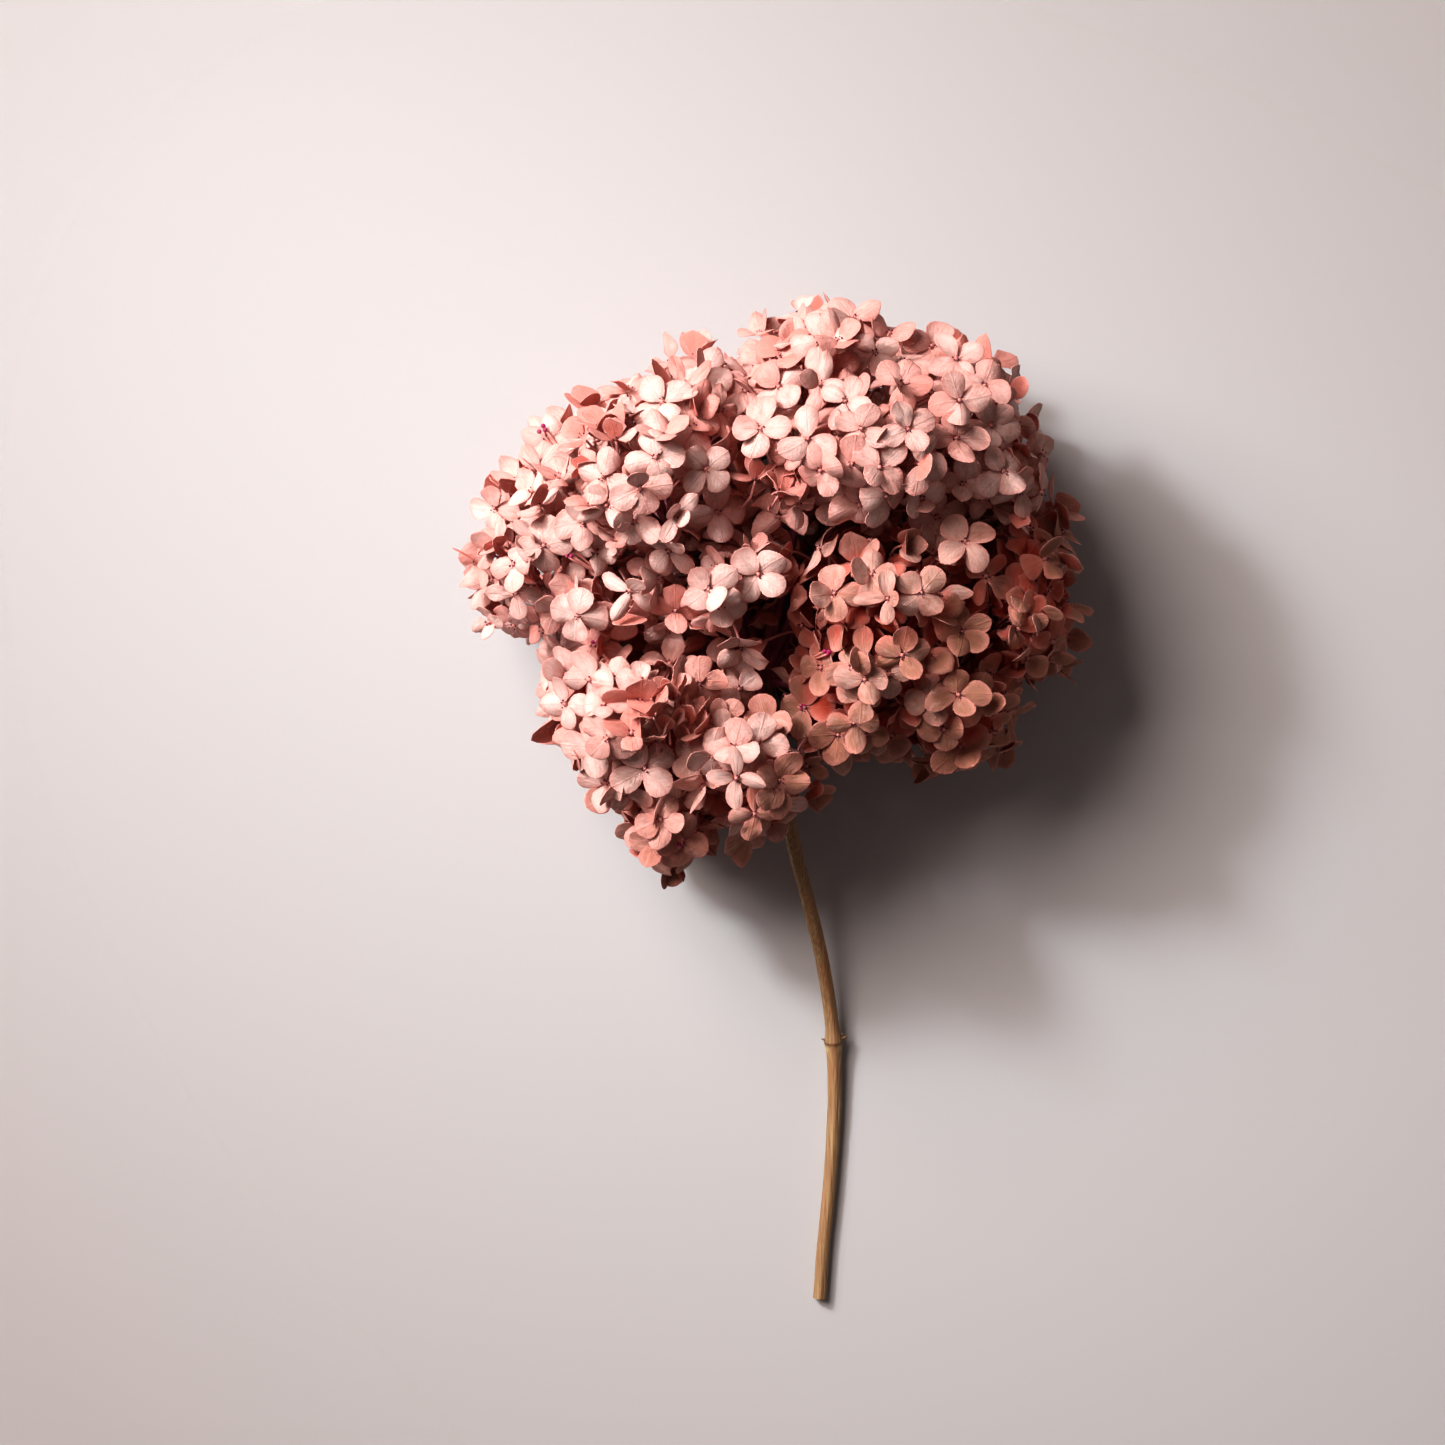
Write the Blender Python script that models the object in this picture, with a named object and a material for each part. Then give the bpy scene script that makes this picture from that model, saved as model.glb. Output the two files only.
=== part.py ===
"""A dried hydrangea flower head on its cut stem, lying on its side.

Metres, +Z up. The surface it lies on is the plane z = 0. +Y runs from the cut end of
the stem to the top of the head. The origin is below the middle of the whole object.

The head is four lobes of florets. Each lobe is one solid: rounded clusters of florets,
whose stalks root in a small core for each cluster, and side branches that join the cores
at a boss. The stem forks inside the head, and each fork ends in a plain hole in a boss.
"""

import math
import random

import bmesh
import bpy
from mathutils import Quaternion, Vector

MM = 0.001
UP = Vector((0, 0, 1))

# Florets, larger than life so that fewer of them cover the head
FLORET_RADIUS = 17.0 * MM  # centre to sepal tip
FLORET_SPACING = 23.5 * MM  # the least distance between two floret centres
FLORET_INSET = 4.0 * MM  # how far inside its cluster's outline a floret's centre lies
UNDER_SHARE = 1.12  # florets on the underside are this much larger and further apart
SIZE_SPREAD = 0.12
SEPALS = 4
SEPAL_THICKNESS = 0.8 * MM
# A sepal's outline: degrees from its midrib, and reach as a share of the floret's radius
NOTCH = (-45, 0.47)
SEPAL_EDGE = ((-29, 0.9), (0, 1.04), (29, 0.9))
SEPAL_TWIST = 6  # degrees that a sepal turns either way in its floret
CUP_RANGE = (-0.12, 0.30)  # rise of the sepal tips, as a share of the floret's radius
PAIR_LIFT = 0.07  # one pair of sepals lies over the other pair
LEAN = 24  # degrees that a floret leans away from its cluster's surface, at most
STALK_RADIUS = 1.1 * MM
STALK_SIDES = 3
STALK_ROOT = 0.36  # where a stalk ends, as a share of the way from cluster centre to floret
PLACES_TRIED = 14  # for each floret that would fit on a cluster

# Clusters and the branches inside a lobe
BALL_DETAIL = 2
CORE_SHARE = 0.5  # a core's radii, as a share of its cluster's
MERGING = 6  # how sharply clusters meet: the lower, the shallower the valleys between them
SWELL_STEP = 0.02  # the steps outward from a cluster's ellipsoid to the head's surface
SWELL_LIMIT = 1.5  # further out than this is inside another cluster
BRANCH_RADIUS = 2.4 * MM
BRANCH_SIDES = 6
BOSS_RADIUS = 7.5 * MM

# What the head rests on
FOOT_RADIUS = 15 * MM  # the flat floret under each lobe
PRESSED_BELOW = 9 * MM  # florets lower than this face the surface
PRESSED_LEVEL = 2.2 * MM
LOWEST = (0.7 * MM, 1.9 * MM)  # other florets keep this far above the surface
SEAM_GAP = (0.2 * MM, 1.2 * MM)  # and this far from the seams between lobes
SEAM_ROOM = 3 * MM  # their centres keep this far from a seam

# Stem
STEM_SIDES = 8
STEM_STEP = 12 * MM
FORK_SIDES = 6
FORK_RADII = (2.3 * MM, 1.7 * MM)
FORK_RISE = 5 * MM
FORK_REACH = 0.8  # as a share of the way from the crown to the middle of the lobe
CLEARANCE = 0.3 * MM  # between the stem and the lobes
STEM_ROOM = 5 * MM  # floret centres keep this far from the stem's line
JOINT_AT = -80.9 * MM  # the swollen leaf joint, along Y
JOINT_SWELL = 1.2 * MM
JOINT_LENGTH = 6 * MM
SCAR_LENGTH = 5.5 * MM
SCAR_RADII = (1.5 * MM, 1.1 * MM)
SCAR_RISE = 1.4 * MM

SEED = 7

# The stem's line from its cut end to its crown: x, y, z and radius in millimetres
STEM_ROUTE = (
    (17.4, -171.4, 2.25, 2.25),
    (18.6, -154.5, 2.3, 2.25),
    (20.7, -133.5, 2.4, 2.3),
    (22.4, -109.0, 2.8, 2.3),
    (22.6, -94.9, 3.4, 2.35),
    (22.1, -80.9, 4.6, 2.4),
    (20.6, -66.8, 6.8, 2.35),
    (18.1, -52.6, 10.4, 2.3),
    (14.8, -38.5, 15.5, 2.3),
    (11.6, -26.1, 21.0, 2.35),
    (8.4, -13.9, 27.0, 2.4),
    (4.9, 3.4, 34.5, 2.6),
    (1.0, 24.0, 42.5, 2.8),
    (-2.5, 44.0, 50.0, 3.0),
)

# Each lobe's clusters: the centre and the radii in millimetres
LOBES = {
    "left": {
        "crown": ((-43, 109, 61), (32, 32, 63)),
        "brow": ((-25, 131, 60), (21, 21, 48)),
        "cheek": ((-72, 95, 46), (22, 29, 48)),
        "point": ((-87, 81, 44), (16, 16, 38)),
        "jaw": ((-56, 70, 52), (27, 18, 46)),
        "chin": ((-17, 76, 66), (24, 21, 48)),
    },
    "upper": {
        "dome": ((32, 121, 64), (37, 30, 66)),
        "crest": ((18, 146, 62), (24, 22, 48)),
        "saddle": ((5, 119, 62), (21, 27, 56)),
        "shoulder": ((56, 133, 60), (25, 24, 52)),
        "flank": ((73, 111, 52), (20, 23, 46)),
    },
    "right": {
        "belly": ((38, 68, 54), (38, 31, 56)),
        "side": ((83, 72, 44), (21, 29, 46)),
        "hem": ((61, 36, 46), (21, 20, 40)),
        "tuck": ((29, 41, 50), (25, 22, 44)),
    },
    "lower": {
        "bell": ((-46, 31, 52), (28, 23, 54)),
        "lip": ((-11, 14, 58), (24, 23, 46)),
        "drop": ((-34, -2, 46), (17, 18, 36)),
        "fold": ((-48, 10, 46), (17, 16, 38)),
        "flap": ((-63, 38, 46), (17, 19, 40)),
        "throat": ((-24, 38, 48), (20, 16, 42)),
    },
}
# The flat floret that each lobe stands on, in plan
FEET = {"left": (-60, 102), "upper": (44, 126), "right": (60, 62), "lower": (-44, 28)}
# The seams between lobes are upright planes, each through two points in plan
SEAMS = (
    ("left", "upper", (1, 91), (-14, 145)),
    ("upper", "right", (1, 91), (97, 95)),
    ("left", "right", (1, 91), (-4, 53)),
    ("left", "lower", (-4, 53), (-78, 53)),
    ("lower", "right", (-4, 53), (11, 4)),
)

SEPAL_COLOURS = {
    "left": (0.78, 0.47, 0.41, 1),
    "upper": (0.76, 0.45, 0.40, 1),
    "right": (0.52, 0.32, 0.25, 1),
    "lower": (0.72, 0.44, 0.38, 1),
}
SEPAL_ROUGHNESS = 0.85
STEM_COLOUR = (0.36, 0.25, 0.12, 1)
STEM_ROUGHNESS = 0.7
SHARP_FROM = math.radians(40)


def metres(values):
    """A point or a size that is given in millimetres, as a vector in metres."""
    return Vector(values) * MM


def clear_scene():
    for old in list(bpy.data.objects):
        bpy.data.objects.remove(old)


def dry_material(name, colour, roughness):
    material = bpy.data.materials.new(name)
    material.use_nodes = True
    shader = material.node_tree.nodes["Principled BSDF"]
    shader.inputs["Base Color"].default_value = colour
    shader.inputs["Roughness"].default_value = roughness
    shader.inputs["Metallic"].default_value = 0.0
    return material


def new_object(name, mesh, collection=None):
    made = bpy.data.objects.new(name, mesh)
    (collection or bpy.context.scene.collection).objects.link(made)
    return made


def closed_mesh(points, faces, name):
    """A mesh from points and faces, with its faces turned outwards."""
    mesh = bpy.data.meshes.new(name)
    mesh.from_pydata(points, [], faces)
    built = bmesh.new()
    built.from_mesh(mesh)
    bmesh.ops.recalc_face_normals(built, faces=built.faces)
    built.to_mesh(mesh)
    built.free()
    return mesh


def ball_mesh(centre, radii):
    built = bmesh.new()
    bmesh.ops.create_icosphere(built, subdivisions=BALL_DETAIL, radius=1)
    bmesh.ops.scale(built, vec=radii, verts=built.verts)
    bmesh.ops.translate(built, vec=centre, verts=built.verts)
    mesh = bpy.data.meshes.new("ball")
    built.to_mesh(mesh)
    built.free()
    return mesh


def smooth_route(points, step):
    """Points about a step apart on a smooth curve through the given points."""
    padded = [2 * points[0] - points[1], *points, 2 * points[-1] - points[-2]]
    route = []
    for a, b, c, d in zip(padded, padded[1:], padded[2:], padded[3:]):
        parts = max(1, round((c - b).length / step))
        for i in range(parts):
            t = i / parts
            square = 2 * a - 5 * b + 4 * c - d
            cube = 3 * b - a - 3 * c + d
            route.append(0.5 * (2 * b + (c - a) * t + square * t**2 + cube * t**3))
    return [*route, points[-1]]


def tube_mesh(line, radii, sides):
    """A closed tube along a line of points, with a ring square to the line at each."""
    points = []
    faces = []
    for i, centre in enumerate(line):
        along = line[min(i + 1, len(line) - 1)] - line[max(i - 1, 0)]
        across = along.cross(UP).normalized()
        over = across.cross(along).normalized()
        for side in range(sides):
            turn = math.tau * side / sides
            points.append(centre + radii[i] * (math.sin(turn) * across - math.cos(turn) * over))
    for i in range(len(line) - 1):
        for side in range(sides):
            a = i * sides + side
            b = i * sides + (side + 1) % sides
            faces.append((a, b, b + sides, a + sides))
    faces.append(tuple(range(sides)))
    faces.append(tuple(range(len(points) - sides, len(points))))
    return closed_mesh(points, faces, "tube")


def apply_modifiers(obj):
    bpy.context.view_layer.update()
    graph = bpy.context.evaluated_depsgraph_get()
    result = bpy.data.meshes.new_from_object(obj.evaluated_get(graph))
    obj.modifiers.clear()
    obj.data = result


def grown_together(name, pieces):
    """One object from closed pieces that grow from the first, joined in one union."""
    others = bpy.data.collections.new(name + "_others")
    bpy.context.scene.collection.children.link(others)
    for i, piece in enumerate(pieces[1:]):
        new_object(f"{name}_other_{i}", piece, others)
    whole = new_object(name, pieces[0])
    join = whole.modifiers.new("Join", "BOOLEAN")
    join.operation = "UNION"
    join.operand_type = "COLLECTION"
    join.collection = others
    join.solver = "MANIFOLD"
    apply_modifiers(whole)
    for piece in list(others.objects):
        bpy.data.objects.remove(piece)
    bpy.data.collections.remove(others)
    return whole


def cut_hole(obj, cutter):
    cut = obj.modifiers.new("Hole", "BOOLEAN")
    cut.operation = "DIFFERENCE"
    cut.object = cutter
    cut.solver = "MANIFOLD"
    apply_modifiers(obj)
    drop_scraps(obj)


def drop_scraps(obj):
    """Keeps the body with the most corners, and drops the loose bits that a cut leaves."""
    built = bmesh.new()
    built.from_mesh(obj.data)
    unseen = set(built.verts)
    bodies = []
    while unseen:
        body = set()
        edge = [unseen.pop()]
        while edge:
            corner = edge.pop()
            body.add(corner)
            for link in corner.link_edges:
                neighbour = link.other_vert(corner)
                if neighbour in unseen:
                    unseen.discard(neighbour)
                    edge.append(neighbour)
        bodies.append(body)
    whole = max(bodies, key=len)
    bmesh.ops.delete(built, geom=[v for v in built.verts if v not in whole], context="VERTS")
    built.to_mesh(obj.data)
    built.free()


class Limit:
    """A plane that florets keep clear of, on the side that its normal points to."""

    def __init__(self, point, normal, gap):
        self.point = point
        self.normal = normal.normalized()
        self.gap = gap

    def room(self, place):
        return (place - self.point).dot(self.normal) - self.gap

    def share_inside(self, inner, outer):
        """How much of the way from an inner to an outer place is inside the limit."""
        start = self.room(inner)
        end = self.room(outer)
        return 1.0 if end >= 0 else start / (start - end)


def lobe_middle(lobe):
    centres = [metres(centre) for centre, _ in LOBES[lobe].values()]
    return sum(centres, Vector()) / len(centres)


def seam_limits(lobe, gap):
    """The seams of a lobe, as planes that face the lobe."""
    limits = []
    for one, other, start, end in SEAMS:
        if lobe in (one, other):
            start = metres((*start, 0))
            normal = (metres((*end, 0)) - start).cross(UP)
            if (lobe_middle(lobe) - start).dot(normal) < 0:
                normal = -normal
            limits.append(Limit(start, normal, gap))
    return limits


def depth_in(place, cluster):
    """Below 1 inside a cluster's ellipsoid, 1 on its surface and above 1 outside."""
    centre, radii = cluster
    offset = place - centre
    return math.hypot(offset.x / radii.x, offset.y / radii.y, offset.z / radii.z)


def cluster_surfaces(lobe):
    """Where the centres of a lobe's florets lie: each cluster's centre and radii in metres."""
    inset = FLORET_INSET * Vector((1, 1, 1))
    return [(metres(centre), metres(radii) - inset) for centre, radii in LOBES[lobe].values()]


def head_depth(depths):
    """The depth in the whole head, whose clusters swell towards each other where they meet."""
    return sum(depth**-MERGING for depth in depths) ** (-1 / MERGING)


def way_out(place, clusters, depths):
    """The direction square to the head's surface at a place."""
    out = Vector()
    for (centre, radii), depth in zip(clusters, depths):
        slope = [(place[i] - centre[i]) / radii[i] ** 2 for i in range(3)]
        out += depth ** (-MERGING - 2) * Vector(slope)
    return out.normalized()


def directions(count, turn):
    """Unit vectors spread evenly over a sphere, on a golden-angle spiral."""
    for i in range(count):
        height = 1 - 2 * (i + 0.5) / count
        ring = math.sqrt(1 - height**2)
        angle = turn + i * math.pi * (3 - math.sqrt(5))
        yield Vector((ring * math.cos(angle), ring * math.sin(angle), height))


def surface_places(clusters):
    """Places all over the head's surface, each with its way out."""
    for own, (centre, radii) in enumerate(clusters):
        width = (radii.x + radii.y + radii.z) / 3
        count = round(PLACES_TRIED * 4 * math.pi * width**2 / FLORET_SPACING**2)
        for direction in directions(count, own):
            swell = 1.0
            while swell < SWELL_LIMIT:
                place = centre + swell * direction * radii
                depths = [depth_in(place, cluster) for cluster in clusters]
                if head_depth(depths) >= 1:
                    if depths.index(min(depths)) == own:
                        yield place, way_out(place, clusters, depths)
                    break
                swell += SWELL_STEP


def under_share(out):
    """How much larger a floret is that faces this way."""
    return UNDER_SHARE if out.z < 0 else 1.0


def nearest_middle(place, lobe):
    """The centre of the cluster of a lobe that a place belongs to."""
    return min(cluster_surfaces(lobe), key=lambda cluster: depth_in(place, cluster))[0]


def floret_places(lobe, surface):
    """Where a lobe's florets stand, from its top down, each with its way out."""
    limits = seam_limits(lobe, SEAM_ROOM)
    stem = smooth_route([Vector(point) * MM for point in STEM_ROUTE], STEM_STEP / 2)
    taken = [metres((*FEET[lobe], 0))]
    kept = []
    for place, out in sorted(surface, key=lambda found: -found[0].z):
        if place.z < PRESSED_BELOW:
            place = Vector((place.x, place.y, PRESSED_LEVEL))
            out = -UP
        spacing = FLORET_SPACING * under_share(out)
        outside = any(limit.room(place) < 0 for limit in limits)
        touching = any((place - point.to_3d()).length < STEM_ROOM for point in stem)
        crowded = any((place - other).length < spacing for other in taken)
        if not (outside or touching or crowded):
            taken.append(place)
            kept.append((place, out))
    return kept


def sepal_outline(cup, lift, rng):
    """A floret's outline, a unit across from centre to tip, with its rise as z."""
    outline = []
    for sepal in range(SEPALS):
        axis = 360 / SEPALS * sepal
        twist = rng.uniform(-SEPAL_TWIST, SEPAL_TWIST)
        reach = rng.uniform(1 - SIZE_SPREAD, 1)
        level = lift if sepal % 2 else -lift
        corners = [(NOTCH[0], NOTCH[1], 0)]
        corners += [(degrees + twist, share * reach, level) for degrees, share in SEPAL_EDGE]
        for degrees, share, rise in corners:
            angle = math.radians(axis + degrees)
            height = cup * share**2 + rise * share
            outline.append(Vector((share * math.cos(angle), share * math.sin(angle), height)))
    return outline


def floret_mesh(place, out, root, outline, limits, spin):
    """A floret as one closed solid: its sepals in one thin plate, and a stalk to its root.

    Sepals that would cross a limit are shortened to it.
    """
    facing = UP.rotation_difference(out) @ Quaternion(UP, spin)
    back = place - SEPAL_THICKNESS * out
    upper = []
    lower = []
    for point in outline:
        offset = facing @ point
        inside = min(
            min(limit.share_inside(place, place + offset), limit.share_inside(back, back + offset))
            for limit in limits
        )
        upper.append(place + inside * offset)
        lower.append(back + inside * offset)
    collar = []
    foot = []
    for side in range(STALK_SIDES):
        angle = math.radians(NOTCH[0] + 360 * (side + 0.5) / STALK_SIDES)
        offset = facing @ (STALK_RADIUS * Vector((math.cos(angle), math.sin(angle), 0)))
        collar.append(back + offset)
        foot.append(root + offset)
    count = len(outline)
    centre = 2 * count
    first = centre + 1
    end = first + STALK_SIDES
    faces = [tuple(range(end, end + STALK_SIDES))]
    for i in range(count):
        after = (i + 1) % count
        near = first + i * STALK_SIDES // count
        far = first + after * STALK_SIDES // count
        faces.append((centre, i, after))
        faces.append((i, count + i, after))
        faces.append((after, count + i, count + after))
        faces.append((near, count + after, count + i))
        if near != far:
            faces.append((near, far, count + after))
    for side in range(STALK_SIDES):
        after = (side + 1) % STALK_SIDES
        faces.append((first + side, end + side, first + after))
        faces.append((first + after, end + side, end + after))
    return closed_mesh([*upper, *lower, place, *collar, *foot], faces, "floret")


def outer_floret(lobe, place, out, rng):
    """A floret on the head's surface, of its own size, lean and cup."""
    pressed = out == -UP
    floor = Limit(Vector(), UP, rng.uniform(*LOWEST))
    limits = [floor, *seam_limits(lobe, rng.uniform(*SEAM_GAP))]
    way = Quaternion(out, rng.uniform(0, math.tau)) @ out.orthogonal().normalized()
    lean = 0 if pressed else math.radians(rng.uniform(0, LEAN))
    cup = 0 if pressed else rng.uniform(*CUP_RANGE)
    radius = FLORET_RADIUS * under_share(out) * rng.uniform(1 - SIZE_SPREAD, 1 + SIZE_SPREAD)
    outline = [radius * point for point in sepal_outline(cup, PAIR_LIFT, rng)]
    root = nearest_middle(place, lobe).lerp(place, STALK_ROOT)
    facing = Quaternion(way, lean) @ out
    return floret_mesh(place, facing, root, outline, limits, rng.uniform(0, math.tau))


def foot_floret(lobe, rng):
    """The floret that the lobe stands on, with all its sepals flat on the surface."""
    place = metres((*FEET[lobe], 0))
    root = nearest_middle(place, lobe).lerp(place, STALK_ROOT)
    outline = [FOOT_RADIUS * point for point in sepal_outline(0, 0, rng)]
    limits = seam_limits(lobe, SEAM_GAP[0])
    return floret_mesh(place, -UP, root, outline, limits, 0)


def fork_line(lobe, extra):
    """The line of the stem's fork into a lobe, drawn out at its end by an extra length."""
    start = metres(STEM_ROUTE[-1][:3])
    end = start.lerp(lobe_middle(lobe), FORK_REACH)
    end += extra * (end - start).normalized()
    return [start, start.lerp(end, 0.5) + FORK_RISE * UP, end]


def branch_mesh(line, radii, sides, extra):
    """A tapered branch on a smooth curve through a line of points."""
    route = smooth_route(line, STEM_STEP)
    last = len(route) - 1
    widths = [radii[0] + (radii[1] - radii[0]) * i / last + extra for i in range(last + 1)]
    return tube_mesh(route, widths, sides)


def leaf_scar(side, extra):
    """The dry stub that a fallen leaf left on one side of the swollen joint."""
    start = min((Vector(point) * MM for point in STEM_ROUTE), key=lambda p: abs(p.y - JOINT_AT))
    start = start.to_3d()
    tip = start + Vector((side * SCAR_LENGTH, SCAR_LENGTH / 3, SCAR_RISE))
    return branch_mesh([start, start.lerp(tip, 0.6), tip], SCAR_RADII, FORK_SIDES, extra)


def stem_object(name, extra=0.0):
    """The stem with its swollen joint, two leaf scars and forks, thickened by an extra."""
    route = smooth_route([Vector(point) * MM for point in STEM_ROUTE], STEM_STEP)
    radii = []
    for point in route:
        swell = JOINT_SWELL * math.exp(-(((point.y - JOINT_AT) / JOINT_LENGTH) ** 2))
        radii.append(point.w + swell + extra)
    pieces = [tube_mesh([point.to_3d() for point in route], radii, STEM_SIDES)]
    pieces += [leaf_scar(side, extra) for side in (-1, 1)]
    pieces += [branch_mesh(fork_line(lobe, extra), FORK_RADII, FORK_SIDES, extra) for lobe in LOBES]
    return grown_together(name, pieces)


def lobe_object(lobe, surface, sheath):
    """A lobe of the head: its cores, side branches and florets, on its fork of the stem."""
    rng = random.Random(f"{SEED} {lobe}")
    socket = fork_line(lobe, 0)[-1]
    pieces = [ball_mesh(socket, BOSS_RADIUS * Vector((1, 1, 1)))]
    for centre, radii in LOBES[lobe].values():
        pieces.append(ball_mesh(metres(centre), CORE_SHARE * metres(radii)))
        pieces.append(tube_mesh([socket, metres(centre)], [BRANCH_RADIUS] * 2, BRANCH_SIDES))
    for place, out in floret_places(lobe, surface):
        pieces.append(outer_floret(lobe, place, out, rng))
    pieces.append(foot_floret(lobe, rng))
    grown = grown_together("florets_" + lobe, pieces)
    cut_hole(grown, sheath)
    return grown


def finish(obj, material):
    obj.data.materials.clear()
    obj.data.materials.append(material)
    obj.data.shade_smooth()
    obj.data.set_sharp_from_angle(angle=SHARP_FROM)


def build():
    clear_scene()
    finish(stem_object("stem"), dry_material("dry_stem", STEM_COLOUR, STEM_ROUGHNESS))
    sheath = stem_object("sheath", CLEARANCE)
    clusters = [cluster for lobe in LOBES for cluster in cluster_surfaces(lobe)]
    surface = list(surface_places(clusters))
    for lobe, colour in SEPAL_COLOURS.items():
        material = dry_material("dry_sepals_" + lobe, colour, SEPAL_ROUGHNESS)
        finish(lobe_object(lobe, surface, sheath), material)
    bpy.data.objects.remove(sheath)


build()
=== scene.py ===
"""Dresses a dried hydrangea flower head: papery sepals, stalks, floret hearts and a woody stem.

Metres, +Z up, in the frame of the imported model. The flower lies on the plane z = 0 and is
seen from above. Each lobe of florets and the stem replace their plain solids.
"""

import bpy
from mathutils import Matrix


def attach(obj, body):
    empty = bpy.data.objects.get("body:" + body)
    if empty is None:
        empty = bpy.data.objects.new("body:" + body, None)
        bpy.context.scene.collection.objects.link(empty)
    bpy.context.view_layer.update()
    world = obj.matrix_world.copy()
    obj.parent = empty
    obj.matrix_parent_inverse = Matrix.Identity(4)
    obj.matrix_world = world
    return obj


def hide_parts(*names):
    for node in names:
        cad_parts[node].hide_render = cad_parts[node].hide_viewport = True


bl_info = {
    "name": "Dried Hydrangea",
    "version": (1, 0, 0),
    "blender": (4, 5, 0),
    "location": "3D View > Sidebar > Hydrangea",
    "description": "Builds the sepals, stalks and stem of a dried hydrangea flower head",
    "category": "Add Mesh",
}

import functools
import math
from typing import NamedTuple

import bpy
import numpy as np
from bpy.props import FloatProperty, FloatVectorProperty, PointerProperty
from mathutils import Vector

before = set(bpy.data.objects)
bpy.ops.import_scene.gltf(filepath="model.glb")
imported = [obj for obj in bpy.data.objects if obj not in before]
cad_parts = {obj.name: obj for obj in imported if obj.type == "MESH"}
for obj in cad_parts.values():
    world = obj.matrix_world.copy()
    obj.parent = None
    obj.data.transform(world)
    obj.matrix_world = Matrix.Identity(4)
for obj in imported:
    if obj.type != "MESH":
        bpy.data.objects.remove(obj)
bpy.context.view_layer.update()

MM = 0.001
UP = np.array((0.0, 0.0, 1.0))

# The photograph's framing: its square field at the surface, and where its middle lies there
CAMERA_HEIGHT = 1.5
FIELD_WIDTH = 0.50575
FIELD_MIDDLE = (-0.0165, 0.0299)
SENSOR_WIDTH = 36.0

# The soft light from the upper left, the broad light above it, and the even light all round
KEY_PLACE = (-0.85, 0.72, 0.93)
KEY_SIZE = 0.2
KEY_SPREAD = 32  # degrees: its grid keeps it from the lower right of the head
KEY_TARGET = (-0.08, 0.11, 0.1)
KEY_TINT = (1.0, 0.96, 0.97)
SKY_PLACE = (-1.4, 1.2, 1.8)
SKY_SIZE = 1.8
SKY_TINT = (1.0, 0.77, 0.71)
SKY_TARGET = (0.0, 0.06, 0.05)
WORLD_TINT = (1.0, 0.72, 0.67)
FLOOR_HALF = 4.0  # metres from its middle to its edge

# Each lobe's clusters: the centre and the radii in millimetres
LOBES = {
    "left": (
        ((-43, 109, 61), (32, 32, 63)),
        ((-25, 131, 60), (21, 21, 48)),
        ((-72, 95, 46), (22, 29, 48)),
        ((-87, 81, 44), (16, 16, 38)),
        ((-56, 70, 52), (27, 18, 46)),
        ((-17, 76, 66), (24, 21, 48)),
    ),
    "upper": (
        ((32, 121, 64), (37, 30, 66)),
        ((18, 146, 62), (24, 22, 48)),
        ((5, 119, 62), (21, 27, 56)),
        ((56, 133, 60), (25, 24, 52)),
        ((73, 111, 52), (20, 23, 46)),
    ),
    "right": (
        ((38, 68, 54), (38, 31, 56)),
        ((83, 72, 44), (21, 29, 46)),
        ((61, 36, 46), (21, 20, 40)),
        ((29, 41, 50), (25, 22, 44)),
    ),
    "lower": (
        ((-46, 31, 52), (28, 23, 54)),
        ((-11, 14, 58), (24, 23, 46)),
        ((-34, -2, 46), (17, 18, 36)),
        ((-45, 11, 46), (14, 14, 38)),
        ((-61, 39, 46), (15, 18, 40)),
        ((-24, 38, 48), (20, 16, 42)),
    ),
}
# The seams between lobes are upright planes, each through two points in plan, in millimetres
SEAMS = (
    ("left", "upper", (1, 91), (-14, 145)),
    ("upper", "right", (1, 91), (97, 95)),
    ("left", "right", (1, 91), (-4, 53)),
    ("left", "lower", (-4, 53), (-78, 53)),
    ("lower", "right", (-4, 53), (11, 4)),
)
MERGING = 6  # how sharply clusters meet
LEAST_RADIUS = 1.0 * MM  # that an inset leaves of a cluster
# How the places on a cluster are moved out to the merged surface, as shares of its radius
SWELL_STEP = 0.02
SWELL_LIMIT = 1.5
PLACES_TRIED = 14  # for each square of the spacing

# The stem's line from its cut end to its crown: x, y, z and radius in millimetres
STEM_ROUTE = (
    (17.4, -171.4, 2.25, 2.25),
    (18.6, -154.5, 2.3, 2.25),
    (20.7, -133.5, 2.4, 2.3),
    (22.4, -109.0, 2.8, 2.3),
    (22.6, -94.9, 3.4, 2.35),
    (22.1, -80.9, 4.6, 2.4),
    (20.6, -66.8, 6.8, 2.35),
    (18.1, -52.6, 10.4, 2.3),
    (14.8, -38.5, 15.5, 2.3),
    (11.6, -26.1, 21.0, 2.35),
    (8.4, -13.9, 27.0, 2.4),
    (4.9, 3.4, 34.5, 2.6),
    (1.0, 24.0, 42.5, 2.8),
    (-2.5, 44.0, 50.0, 3.0),
)
STEM_RING_STEP = 0.5 * MM
STEM_SIDES = 28
JOINT_AT = -80.9 * MM
JOINT_SWELL = 0.6 * MM
JOINT_LENGTH = 2.6 * MM
JOINT_SHOULDER = 0.3 * MM  # how much thicker the stem is just below the joint
SHOULDER_REACH = 8  # in lengths of the joint
# The ridges along the bark: their height, how many there are, and their twist
RIDGES = ((0.09 * MM, 6, 8), (0.05 * MM, 11, -20))
LUMP_STEP = 0.02 * MM
LUMP_LIMIT = 0.12 * MM
LUMP_REACH = 40  # rings over which lumps even out
RAGGEDNESS = 0.12 * MM
STEM_FLOOR = 0.02 * MM
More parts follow.
